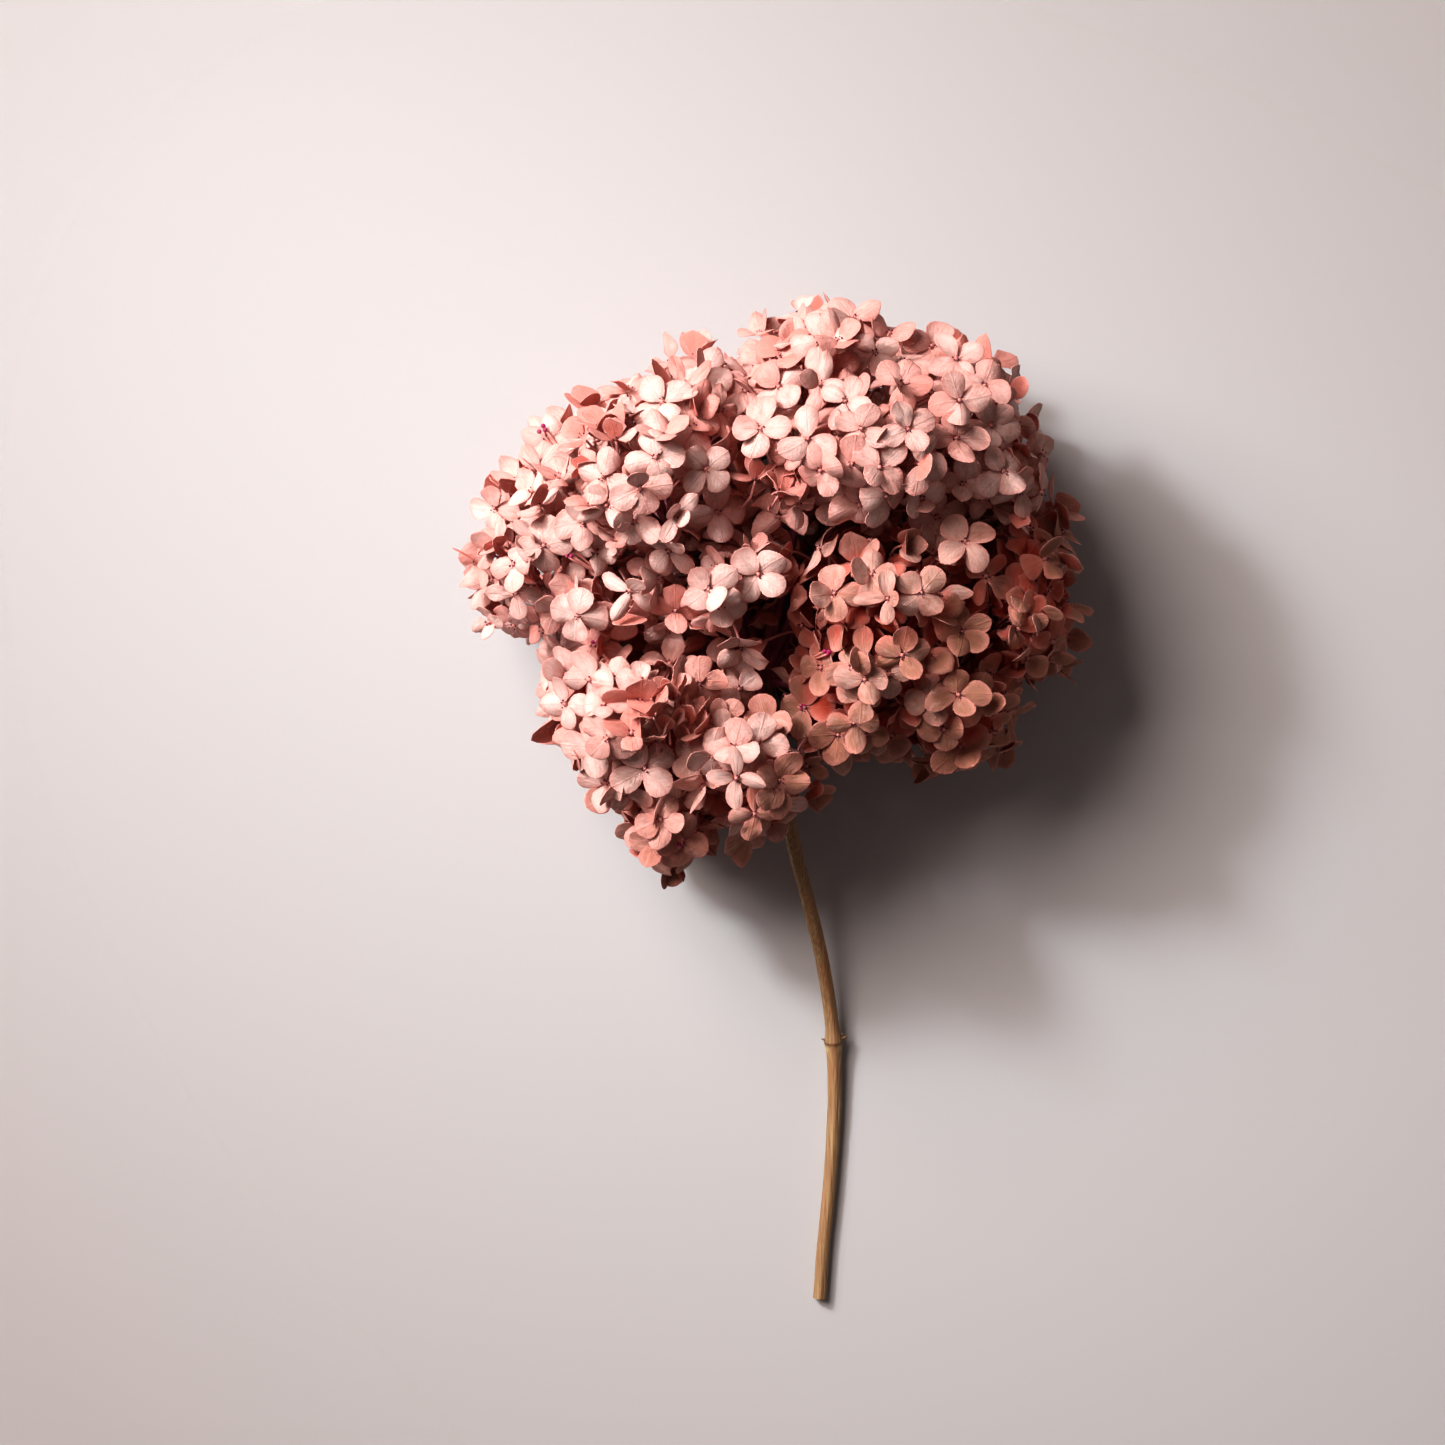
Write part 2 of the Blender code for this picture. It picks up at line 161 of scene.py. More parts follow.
# The scar round the joint, which dips above and below, and the pale leaf scars on its sides
SCAR_DIP = 1.3 * MM
SCAR_WIDTH = 0.6 * MM
LEAF_SCAR_DEPTH = 2.7 * MM  # below the joint
LEAF_SCAR_LENGTH = 1.3 * MM
STUB_SCAR = 0.75  # how dark the leaf stubs are
# The cut end: how far each ring is sunk, its share of the stem's radius, and how much pith shows
CUT_RINGS = (
    (0.5, 0.08, 1.0),
    (0.4, 0.36, 1.0),
    (0.05, 0.44, 0.45),
    (0.0, 0.72, 0.35),
    (0.02, 0.9, 0.2),
)
# The leaf stubs at the joint: their side, length, rise along the stem and radius in millimetres
LEAF_STUBS = ((1, 2.6, 1.5, 0.75), (-1, 1.7, 0.5, 0.65), (1, 1.1, 2.6, 0.35))

# A sepal's grids, for the outer florets and for those within: rings from its middle to its
# edge, and spokes round it
SEPAL_GRIDS = (((0.42, 0.75, 0.94, 1.0), 16), ((0.6, 1.0), 12))
BASE_NARROWING = 0.42
TIP_WIDTH = 0.34
SEPAL_START = 0.5 * MM  # from the floret's middle
GROOVE_DEPTH = 0.22 * MM
GROOVE_WIDTH = 0.12
SEPAL_THICKNESS = 0.42 * MM
EDGE_THINNING = 0.6
FLOOR_ZONE = 3.0 * MM  # what would lie lower is pressed flat against the surface
FLOOR_LEVEL = 0.25 * MM

LAYERS = (
    # inset from the clusters, spacing between florets, most lean in degrees
    (3.0 * MM, 12.4 * MM, 48),
    (9.0 * MM, 14.5 * MM, 70),
    (18.0 * MM, 19.0 * MM, 80),
)
# Where the painted shade deep within the head starts and is full, as shares of a cluster's radius
# within its outside
SHADE_START = 0.05
SHADE_END = 0.42
# How florets that overlap lie over each other, and how near in spacings such florets are
STACKING = (-4.8 * MM, -1.6 * MM, 1.6 * MM, 4.8 * MM)
STACKING_REACH = 1.7
SEED = 11
FLORET_RADIUS = 10.4 * MM

# The draws for a floret that isn't listed one by one
LEAN_SHAPE = (1.4, 2.4)
SIZE_RANGE = (0.84, 1.12)
HEIGHT_SPREAD = 0.8 * MM
PLACE_SPREAD = 1.2 * MM
OPENING_SPREAD = math.radians(12)
LAID_OPENING_SPREAD = math.radians(9)
FLORET_TONE = (0.5, 0.22)
# The cupped florets: how many, how far their sepals rise further in degrees, and their size
CUPPED_SHARE = 0.22
CUPPED_RISE = (22, 55)
CUPPED_SIZE = 0.9
# How far florets on the head's sides look up: most where the height of their way out is
# SIDE_MIDDLE, and not at all where it is SIDE_REACH away from that
SIDE_LIFT = 0.55
SIDE_MIDDLE = -0.05
SIDE_REACH = 0.5
LOWER_SIDE_LEVEL = -1.5 * MM  # the most that those on the sides of the lower lobe stand out

# The draws for a sepal
SEPAL_COUNTS = (3, 4, 5)
COUNT_CHANCES = (0.06, 0.9, 0.04)
SLIM_SHARE = 0.15
SLIMNESS = (0.62, 0.8)
LENGTH_RANGE = (0.86, 1.08)
WIDTH_RANGE = (0.86, 1.18)
MOST_POINTED = 0.13
SPIN_SPREAD = 0.09
SWAY_SPREAD = 0.09
STANDING_SHARES = {True: 0.08, False: 0.22}  # for laid florets and for the others
STANDING_RISE = (0.7, 1.25)
MOST_RISE = 1.45
RISE_SPREAD = 0.17
BEND = (-0.42, 0.4)
DROOP = (0.2, 0.22)
DROOPING_SHARE = 0.15
DROOPING = (0.4, 0.9)
WAVE_RANGE = (0.15, 0.8)  # millimetres
WAVES = (2, 5)  # round the edge: two to four
SEPAL_TONE_SPREAD = 0.12
# The lower pair of a floret's sepals, then the upper pair: size, lift and rise
PAIRS = ((1.05, -0.1 * MM, -0.06), (0.94, 0.6 * MM, 0.14))

# The stalks: how far from a cluster's centre towards the crown its twigs meet, and how far from
# there towards a group of florets their stalks meet
HUB_SHARE = 0.25
JUNCTION_SHARE = 0.6
STALKS_PER_TWIG = 4
LEAST_TWIGS = 4  # in each cluster
# The tubes of each kind: its colour share, its radii in stalk radii, its rings and its sides
STALK_TUBES = (
    (0.0, (0.85, 1.1), 6, 5),
    (0.5, (1.3, 1.8), 5, 6),
    (1.0, (2.4, 3.8), 7, 8),
)

# A floret's heart: its height over the floret's middle, its anthers, and in millimetres the
# spread of its size, and of its anthers' reach from it, height and size
HEART_HEIGHT = 0.6 * MM
ANTHERS = 4
ANTHER_SPREAD = 0.3
HEART_SIZE = (0.55, 0.85)
ANTHER_REACH = (0.8, 1.3)
ANTHER_HEIGHT = (0.3, 1.0)
ANTHER_SIZE = (0.26, 0.4)
# Each lobe's fading towards the lower right, partly painted shade, its blush, the least fading of
# its florets, also partly painted shade, and the strength of the painted shade deep among them
LOBE_SHADES = {
    "left": (0.4, 0.04, 0.0, 0.2),
    "upper": (0.65, 0.08, 0.0, 0.25),
    "right": (1.6, 0.0, 0.3, 2.6),
    "lower": (1.0, 0.08, 0.0, 0.75),
}
# This way points away from the key light, so the fading along it is partly painted shade.
FADE_AND_SHADE_WAY = (0.62, -0.66, -0.42)  # towards the most faded florets
# Florets between the lobes, where they meet: a cluster's centre and radii in millimetres
VALLEYS = (
    ("upper", (-4, 134, 34), (20, 22, 34)),
    ("lower", (-30, 54, 36), (30, 16, 34)),
    ("right", (30, 94, 40), (34, 14, 38)),
)

# The florets that show most, listed one by one: the centre in millimetres, which way and how far
# the floret leans in degrees, the way of one sepal seen from above, the radius in millimetres, how
# much more than the others its sepals rise in degrees, and how rosy it is
LAID = (
    (-18, 99, 96, -60, 8, 10, 10.3, 0, 0.1),
    (-31, 97, 117, -80, 10, 140, 10, 0, 0.05),
    (-22, 112, 113, -30, 10, 45, 9.3, 0, 0.1),
    (-38, 115, 124, 51, 10, 10, 9.5, 0, 0.05),
    (-55, 109, 118, 180, 15, 160, 9.5, 0, 0.05),
    (-36, 134, 106, 122, 20, 40, 10.5, 0, 0.15),
    (-22, 145, 88, 78, 20, 72, 10.5, 0, 0.15),
    (-62, 95, 102, -139, 20, 2, 10, 0, 0.15),
    (-58, 86, 93, -115, 20, -95, 9, 0, 0.1),
    (-64, 65, 95, -123, 18, -7, 9.8, 0, 0.25),
    (-85, 73, 76, -100, 20, 180, 10, 0, 0.2),
    (-93, 102, 56, 180, 35, 0, 9, 0, 0.45),
    (-75, 125, 62, 135, 35, -20, 9, 0, 0.3),
    (-34, 86, 107, -90, 12, -40, 10.3, 0, 0.1),
    (-5, 78, 110, -40, 12, 48, 10.5, 0, 0.2),
    (-21, 73, 115, -127, 10, 42, 9.5, 0, 0.15),
    (-17, 68, 108, -60, 15, -15, 8.5, 0, 0.1),
    (-34, 61, 75, -101, 20, 25, 9.2, 0, 0.45),
    (-79, 106, 87, 135, 52, 130, 9, 22, 0.4),
    (-85, 111, 64, 130, 66, 120, 8.5, 42, 0.6),
    (-70, 110, 96, 105, 62, 100, 8.5, 40, 0.7),
    (-76, 101, 95, 120, 60, 60, 8.5, 42, 0.75),
    (-90, 89, 76, 150, 64, 150, 8.5, 32, 0.8),
    (-59, 100, 112, 95, 60, 90, 8.5, 44, 0.8),
    (-51, 89, 107, 90, 62, 90, 8.5, 47, 0.7),
    (-60, 134, 74, 108, 76, 20, 9.5, 54, 0.95),
    (-55, 126, 106, 115, 68, 60, 9, 47, 0.95),
    (-51, 121, 117, 95, 70, 10, 8.5, 52, 0.9),
    (-62, 123, 99, 135, 60, 80, 9.5, 37, 0.85),
    (-6, 109, 106, 85, 66, 30, 9.5, 50, 0.95),
    (-9, 104, 90, 75, 60, 60, 9, 42, 0.9),
    (2, 104, 111, 60, 62, 70, 9.5, 44, 0.9),
    (-36, 122, 119, 95, 55, 20, 9.5, 42, 0.85),
    (-99, 84, 55, 180, 62, 170, 11, -3, 0.5),
    (-92, 88, 74, 160, 35, 60, 9, 12, 0.5),
    (-47, 73, 98, 30, 11, 150, 10.5, 0, 0.1),
    (-40, 79, 91, -126, 12, 150, 8.5, 17, 0.8),
    (-38, 77, 94, 5, 66, 92, 9.5, -8, 0.1),
    (-32, 67, 92, -90, 45, 0, 9, 0, 0.9),
    (-24, 43, 89, -80, 25, 12, 9.5, 0, 0.85),
    (-11, 41, 77, 25, 20, -45, 9, 0, 0.25),
    (-34, 49, 79, 90, 55, 150, 10, 26, 0.95),
    (-31, 43, 90, 0, 62, -88, 9, -3, 0.05),
    (-43, 38, 104, -90, 60, 0, 11, 12, 0.95),
    (-38, 24, 101, 95, 62, 168, 9, 44, 0.7),
    (-59, 56, 77, -97, 20, 150, 8.5, 0, 0.85),
    (-75, 88, 96, -137, 11, 100, 9.5, 0, 0.25),
    (-54, 100, 118, -141, 16, 30, 9.5, 0, 0.15),
    (-45, 95, 115, -100, 17, 70, 9.5, 0, 0.2),
    (-43, 105, 125, -92, 6, 15, 9.5, 0, 0.15),
    (-80, 90, 90, -169, 17, 30, 9, 0, 0.5),
    (-85, 82, 88, 160, 40, 100, 9.5, 0, 0.4),
    (-87, 63, 49, -120, 50, -70, 9, 0, 0.75),
    (-95, 64, 50, -130, 55, -80, 7, 0, 0.3),
    (-76, 61, 67, 190, 60, -80, 9.5, 0, 0.9),
    (-29, 140, 100, 110, 25, 20, 10, 17, 0.6),
    (-4, 125, 113, 159, 20, 91, 10.3, 0, 0.35),
    (11, 121, 123, 161, 5, 97, 10.5, 0, 0.2),
    (2, 149, 97, 105, 42, 50, 10.3, 26, 0.75),
    (21, 154, 107, 80, 42, 112, 10, 26, 0.75),
    (15, 154, 105, 95, 18, 85, 10.3, 8, 0.3),
    (2, 139, 105, 136, 20, 42, 9.3, 0, 0.35),
    (23, 133, 123, 111, 16, 65, 9.5, 0, 0.35),
    (33, 151, 97, 44, 20, 30, 9, 0, 0.15),
    (28, 124, 133, 127, 5, 152, 9, 0, 0.3),
    (25, 113, 127, -114, 13, -5, 10.5, 0, 0.6),
    (43, 124, 127, 21, 10, 25, 9.5, 0, 0.35),
    (60, 134, 114, 25, 13, 8, 10, 0, 0.5),
    (60, 149, 95, 76, 20, 28, 10, 0, 0),
    (53, 155, 74, 92, 20, 70, 9.5, 0, 0.75),
    (71, 127, 101, -7, 20, 45, 9.5, 0, 0.3),
    (82, 129, 67, 20, 38, 10, 9.5, 0, 0.65),
    (75, 112, 102, 4, 21, 40, 9.5, 0, 0.1),
    (59, 122, 114, -24, 17, 0, 10, 0, 0.65),
    (81, 106, 92, -22, 43, 5, 10, 0, 0.5),
    (62, 108, 98, -77, 17, -100, 9.5, 0, 0.4),
    (36, 103, 114, 0, 45, 90, 9.5, 0, 0.2),
    (41, 139, 113, 82, 20, 60, 9.5, 0, 0.5),
    (15, 139, 116, 126, 12, 75, 9.5, 0, 0.4),
    (15, 111, 122, -109, 15, 30, 9.8, 0, 0.5),
    (34, 112, 125, -82, 14, 50, 9.5, 0, 0.4),
    (47, 113, 121, -42, 17, 80, 9.5, 0, 0.5),
    (28, 101, 108, -95, 20, 15, 9.5, 0, 0.55),
    (54, 98, 84, -53, 20, 5, 9.5, 0, 0.5),
    (69, 140, 98, 33, 20, 70, 9.5, 0, 0.45),
    (90, 120, 64, 10, 45, 30, 9.5, 0, 0.55),
    (39, 159, 76, 90, 35, 80, 9.5, 0, 0.7),
    (-9, 139, 87, 80, 20, 60, 9.5, 0, 0.3),
    (63, 89, 100, 140, 22, 30, 10.5, 0, 0),
    (48, 103, 105, -60, 20, -80, 9.5, 0, 0.2),
    (43, 88, 95, 0, 30, 90, 9, 37, 0.3),
    (8, 101, 106, -91, 20, -20, 9, 0, 0.5),
    (71, 78, 81, 128, 27, 60, 9.5, 0, 0.45),
    (62, 60, 93, -29, 20, 100, 9.5, 0, 0.55),
    (32, 78, 105, 109, 13, -90, 9.5, 0, 0.25),
    (37, 70, 110, 116, 2, 3, 9.5, 0, 0.15),
    (48, 72, 107, 28, 10, 45, 9, 0, 0.25),
    (20, 72, 104, 162, 15, 10, 10, 0, 0.35),
    (30, 51, 100, -112, 13, 100, 9, 0, 0.35),
    (42, 52, 101, -74, 17, 80, 9, 0, 0.5),
    (81, 61, 85, -97, 27, 0, 9.5, 0, 1.0),
    (85, 52, 73, -76, 46, 60, 9.5, 0, 0.65),
    (103, 70, 56, 80, 62, 5, 10.5, -8, 0.3),
    (11, 35, 74, -153, 20, -3, 10.5, 0, 0.45),
    (16, 48, 87, -174, 19, -90, 9.5, 0, 0.55),
    (26, 48, 99, -143, 10, 205, 9, 0, 0.35),
    (29, 38, 94, -92, 9, -2, 8.6, 0, 0.1),
    (30, 44, 100, -92, 5, 185, 8.6, 0, 0.1),
    (38, 46, 96, -63, 14, 100, 8.6, 0, 0.05),
    (52, 38, 87, -144, 8, 105, 9.3, 0, 0.02),
    (61, 39, 90, 54, 4, 190, 9.3, 0, 0.3),
    (68, 37, 82, 5, 15, 70, 9.5, 0, 0.75),
    (57, 28, 79, -107, 19, 95, 8.5, 0, 0.1),
    (40, 26, 68, -69, 20, 30, 9.5, 0, 0.4),
    (31, 26, 78, -84, 20, -90, 8.8, 0, 0.6),
    (27, 30, 85, -99, 20, 92, 9, 0, 0.3),
    (22, 26, 75, -109, 20, -95, 9.8, 0, 0.65),
    (63, 22, 67, -83, 20, -135, 10.3, 0, 0.55),
    (74, 27, 63, -40, 50, -45, 9, 0, 0.5),
    (78, 34, 63, -75, 62, 8, 9.5, -8, 0.3),
    (93, 57, 71, -35, 50, 70, 9, 0, 0.7),
    (90, 84, 79, 35, 43, 30, 9.5, 0, 0.7),
    (86, 94, 70, 34, 45, 60, 9.5, 0, 0.6),
    (-42, 15, 91, -90, 10, 41, 10.8, 0, 0.2),
    (-30, -10, 75, -64, 20, -105, 9.8, 0, 0.5),
    (-37, -2, 82, -160, 10, -13, 8.8, 0, 0.5),
    (-12, 12, 109, -60, 12, -5, 9.9, 0, 0),
    (-13, 22, 101, 103, 14, -18, 9.8, 0, 0.02),
    (-16, 27, 93, 103, 19, 20, 8, 0, 0.05),
    (-55, 10, 82, -157, 19, -105, 9.2, 0, 0.15),
    (-59, 22, 91, -132, 20, 187, 11, 0, 0),
    (-32, 37, 99, 90, 72, 80, 9.5, 50, 0.8),
    (-27, 30, 95, 75, 70, 70, 9.5, 52, 0.9),
    (-39, 32, 107, 110, 68, 70, 9.5, 48, 0.95),
    (-53, 52, 74, 150, 66, 160, 9, 12, 0.8),
    (-27, 23, 93, 100, 70, 110, 9, 52, 0.9),
    (-34, 28, 101, 95, 72, 100, 8.5, 54, 0.85),
    (-15, 31, 89, 64, 15, 55, 7.2, 0, 0.5),
    (-16, 49, 70, 53, 20, 100, 9.8, 0, 0.05),
    (-52, 44, 92, 103, 20, 150, 8, 0, 0.5),
    (-43, 43, 94, 83, 20, 0, 8.5, 0, 0.35),
    (-54, 25, 100, -131, 16, 140, 9, 0, 0.5),
    (-46, 26, 107, 95, 50, 95, 9.5, 37, 0.95),
    (-55, 36, 101, 136, 15, 90, 9, 0, 0.05),
    (-68, 36, 87, 180, 50, 0, 9, 0, 0.05),
    (-60, 44, 90, 180, 25, -90, 9, 0, 0.1),
    (-68, 46, 79, 170, 28, 80, 9, 0, 0.2),
    (-70, 54, 57, 175, 28, 160, 9.5, 0, 0.25),
    (-70, 45, 77, 180, 50, 180, 8.6, 0, 0.1),
    (-25, 19, 95, 167, 17, 150, 9.8, 0, 0.45),
    (-20, 19, 99, -90, 35, -90, 9, 0, 0.05),
    (2, 11, 94, -15, 20, 80, 9.5, 0, 0.85),
    (1, 8, 93, -28, 20, -60, 9.5, 0, 0.75),
    (-2, 29, 83, 90, 20, 90, 10, 40, 0.75),
    (-5, 23, 96, 54, 18, 0, 10.3, 0, 0.1),
    (-39, -10, 73, -125, 20, 180, 9.5, 0, 0.6),
    (-6, 0, 90, -71, 20, -90, 9.5, 0, 0.8),
    (-9, -8, 61, -50, 50, -35, 9.5, 0, 0.6),
    (-49, 7, 83, -90, 48, -20, 9, 0, 0.5),
    (-33, 5, 82, -90, 62, 0, 9.5, -8, 0.3),
    (-23, 26, 95, 125, 62, 140, 9, 44, 0.85),
)
LAID_STRETCH = 1.01
LAID_CLEARANCE = 1.02  # of the spacing, kept free of other florets round each laid one
# Closed magenta buds that stand among the open florets: the centre in millimetres
BUDS = (
    (-76.0, 127.6, 64.0),
    (-66.2, 84.8, 94.3),
    (18.1, 53.0, 94.0),
    (-59.2, 56.3, 77.1),
    (10.6, 35.1, 73.7),
    (-30.0, -9.8, 75.6),
    (-55.4, 10.2, 81.2),
)
BUD_RADIUS = 0.8 * MM
BUD_SIZE = (0.7, 1.15)  # in bud radii
BUDS_TOGETHER = 4

# Hollows among the florets on top, which show the stalks and the inner florets: the centre and
# the reach in plan, in millimetres
HOLLOWS = (
    ((11, 72), (15, 13)),
    ((-29, 13), (6, 13)),
    ((-29, 30), (11, 12)),
    ((-48, 56), (10, 5)),
    ((-32, 73), (6, 6)),
    ((-15, 1), (10, 6)),
    ((-3, 54), (6, 18)),
    ((70, 52), (8, 6)),
    ((52, 49), (6, 4)),
    ((23, 93), (14, 5)),
)
HOLLOW_FLOOR = 45.0  # millimetres above the surface, below which florets stand all round
# No floret's place is so near the outside of this box that its sepals would pass it
HEAD_ROOM = ((-110.5, -60.0, -10.0), (110.0, 177.0, 134.5))


def colour_property(name, description, default):
    return FloatVectorProperty(
        name=name, description=description, default=default, min=0, max=1, subtype="COLOR"
    )


class HeadSettings(bpy.types.PropertyGroup):
    """The sizes and colours of the florets."""

    floret_radius: FloatProperty(
        name="Floret radius",
        description="From a floret's centre to the tips of its sepals",
        default=FLORET_RADIUS,
        min=6 * MM,
        max=20 * MM,
        unit="LENGTH",
    )
    opening: FloatProperty(
        name="Opening",
        description="How far the sepals rise from flat, on average",
        default=math.radians(8),
        min=math.radians(-20),
        max=math.radians(60),
        subtype="ANGLE",
        unit="ROTATION",
    )
    pale: colour_property("Pale sepal", "The light face of a sepal", (0.80, 0.615, 0.575))
    rosy: colour_property("Rosy sepal", "The pinker sepals", (0.70, 0.32, 0.28))
    # The coral is also the first colour of the painted shade deep within the head.
    coral: colour_property("Coral underside", "The back of a sepal", (0.68, 0.19, 0.145))
    # The tan stands partly for real fading and partly for painted shade towards the lower right.
    tan: colour_property("Faded tan", "The faded sepals low on the head", (0.36, 0.195, 0.135))
    # The inner colour is the painted shade deep within the head, together with the browner colour
    # of the inner sepals.
    deep: colour_property("Inner sepal", "The sepals deep within the head", (0.44, 0.07, 0.04))
    anther: colour_property("Anther", "The dark specks at a floret's middle", (0.10, 0.012, 0.055))
    bud: colour_property("Closed bud", "The magenta of the closed buds", (0.34, 0.012, 0.12))


class StemSettings(bpy.types.PropertyGroup):
    """The sizes and colours of the stem and the flower stalks."""

    stalk_radius: FloatProperty(
        name="Stalk radius",
        description="The thickness of a floret's own stalk",
        default=0.5 * MM,
        min=0.2 * MM,
        max=1.5 * MM,
        unit="LENGTH",
    )
    bark: colour_property("Bark", "The dry bark", (0.43, 0.335, 0.17))
    bark_dark: colour_property("Dark bark", "The bark's streaks and hollows", (0.12, 0.05, 0.02))
    russet: colour_property("Russet", "The red-brown stretches of the bark", (0.33, 0.15, 0.06))
    pith: colour_property("Pith", "The pith in the cut end, and the leaf scars", (0.66, 0.52, 0.28))
    stalk: colour_property("Stalk", "The pink-brown stalk of a floret", (0.62, 0.28, 0.26))
    branch: colour_property("Branch", "The branches within the head", (0.28, 0.055, 0.12))


class StageSettings(bpy.types.PropertyGroup):
    """The floor and the lights."""

    floor: colour_property("Floor", "The plain pale floor", (0.50, 0.56, 0.58))
    key_power: FloatProperty(
        name="Key light",
        description="The power of the soft light from the upper left",
        default=0.47,
        min=0,
        max=50,
        subtype="POWER",
        unit="POWER",
    )
    sky_power: FloatProperty(
        name="Overhead light",
        description="The power of the broad light above the key light",
        default=82.0,
        min=0,
        max=400,
        subtype="POWER",
        unit="POWER",
    )
    fill_strength: FloatProperty(
        name="Fill",
        description="The strength of the even light from all around",
        default=0.11,
        min=0,
        max=2,
    )


class Floret(NamedTuple):
    """Where a floret stands and how it is turned and opened."""

    lobe: str
    place: np.ndarray
    out: np.ndarray
    radius: float
    spin: float
    opening: float
    layer: int
    tone: float
    laid: bool


class Sepal(NamedTuple):
    """A sepal's size, bends and shade on its floret."""

    floret: Floret
    spin: float
    length: float
    width: float
    point: float
    sway: float
    lift: float
    rise: float
    bend: float
    droop: float
    wave: tuple  # height, number and phase
    tone: float


def unit(vectors):
    return vectors / np.linalg.norm(vectors, axis=-1, keepdims=True)


def square_to(out):
    """Two unit vectors square to a direction and to each other."""
    away = np.array((1.0, 0.0, 0.0)) if abs(out[0]) < 0.9 else np.array((0.0, 1.0, 0.0))
    first = unit(np.cross(away, out))
    return first, np.cross(out, first)


def turned(vector, axis, angle):
    """A vector turned about a unit axis."""
    along = axis * np.dot(axis, vector)
    return along + (vector - along) * math.cos(angle) + np.cross(axis, vector) * math.sin(angle)


def cluster_arrays(lobes, inset, valleys=False):
    """The clusters of these lobes as arrays of centres and radii in metres."""
    clusters = [cluster for lobe in lobes for cluster in LOBES[lobe]]
    if valleys:
        clusters.extend((centre, radii) for lobe, centre, radii in VALLEYS if lobe in lobes)
    centres = np.array([centre for centre, _ in clusters]) * MM
    radii = np.array([radii for _, radii in clusters]) * MM - inset
    return centres, np.maximum(radii, LEAST_RADIUS)


def cluster_depths(places, centres, radii):
    """For each place and cluster, below 1 inside the ellipsoid and above 1 outside."""
    return np.linalg.norm((places[:, None] - centres[None]) / radii[None], axis=2)


def merged_depth(depths):
    return (depths**-MERGING).sum(axis=1) ** (-1 / MERGING)


def ways_out(places, centres, radii, depths):
    slopes = (places[:, None] - centres[None]) / radii[None] ** 2
    return unit((depths[..., None] ** (-MERGING - 2) * slopes).sum(axis=1))


def depths_within(corners):
    """How far within the head's surface corners lie, as the mask of the painted shade: 0 at its
    outside, 1 at its inside, where that shade is full.
    """
    centres, radii = cluster_arrays(LOBES, 0, valleys=True)
    found = []
    for block in corners:
        inside = 1 - merged_depth(cluster_depths(block, centres, radii))
        found.append(np.clip((inside - SHADE_START) / (SHADE_END - SHADE_START), 0, 1))
    return np.array(found)


def spiral_directions(count, turn):
    """Unit vectors spread evenly over a sphere, on a golden-angle spiral."""
    step = np.arange(count)
    height = 1 - 2 * (step + 0.5) / count
    ring = np.sqrt(1 - height**2)
    angle = turn + step * math.pi * (3 - math.sqrt(5))
    return np.stack([ring * np.cos(angle), ring * np.sin(angle), height], axis=1)


def surface_places(inset, spacing):
    """Places all over the head's surface, an inset below it, each with its way out."""
    centres, radii = cluster_arrays(LOBES, inset, valleys=True)
    places = []
    outs = []
    for own in range(len(centres)):
        count = round(PLACES_TRIED * 4 * math.pi * radii[own].mean() ** 2 / spacing**2)
        directions = spiral_directions(count, own)
        swell = np.ones(count)
        for _ in range(round((SWELL_LIMIT - 1) / SWELL_STEP)):
            tried = centres[own] + swell[:, None] * directions * radii[own]
            depths = cluster_depths(tried, centres, radii)
            swell = np.where(merged_depth(depths) < 1, swell + SWELL_STEP, swell)
        on_surface = (merged_depth(depths) >= 1) & (depths.argmin(axis=1) == own)
        places.append(tried[on_surface])
        outs.append(ways_out(tried, centres, radii, depths)[on_surface])
    return np.concatenate(places), np.concatenate(outs)


def thinned(places, spacing):
    """The indices of places at least a spacing apart, chosen from the top down."""
    taken = []
    kept = []
    for index in np.argsort(-places[:, 2], kind="stable"):
        place = places[index]
        near = taken and (np.linalg.norm(np.array(taken) - place, axis=1) < spacing).any()
        if not near:
            kept.append(index)
            taken.append(place)
    return kept


def lobe_middle(lobe):
    return cluster_arrays([lobe], 0)[0].mean(axis=0)


def lobe_of(place):
    """The lobe on whose side of every seam a place lies."""
    inside = {lobe: True for lobe in LOBES}
    for one, other, start, end in SEAMS:
        start = np.array((*start, 0)) * MM
        normal = np.cross(np.array((*end, 0)) * MM - start, UP)
        side = np.dot(place - start, normal)
        for lobe in (one, other):
            if side * np.dot(lobe_middle(lobe) - start, normal) < 0:
                inside[lobe] = False
    found = [lobe for lobe in LOBES if inside[lobe]]
    if found:
        return found[0]
    return min(LOBES, key=lambda name: np.linalg.norm(lobe_middle(name) - place))


def gaps_to(places, others):
    """The distance of each place from the nearest of the others."""
    return np.linalg.norm(places[:, None] - others[None], axis=2).min(axis=1)


def stacked(places, spacing, laid):
    """A height for each place, as unlike those of its neighbours as it can be."""
    levels = []
    for index, place in enumerate(places):
        near = np.linalg.norm(places[:index] - place, axis=1) < STACKING_REACH * spacing
        used = [levels[other] for other in np.nonzero(near)[0]]
        beside = np.linalg.norm(laid - place, axis=1) < STACKING_REACH * spacing
        used.extend([STACKING[-1]] * int(beside.sum()))
        crowding = [sum(1 / (MM + abs(level - one)) for one in used) for level in STACKING]
        levels.append(STACKING[int(np.argmin(crowding))])
    return np.array(levels)


def in_hollow(places):
    """Which places stand in one of the hollows on top of the head."""
    middles = np.array([middle for middle, _ in HOLLOWS]) * MM
    reach = np.array([reach for _, reach in HOLLOWS]) * MM
    away = np.linalg.norm((places[:, None, :2] - middles[None]) / reach[None], axis=2).min(axis=1)
    return (away < 1) & (places[:, 2] > HOLLOW_FLOOR * MM)


def within_room(place, size):
    low, high = np.array(HEAD_ROOM) * MM
    return np.clip(place, low + size, high - size)


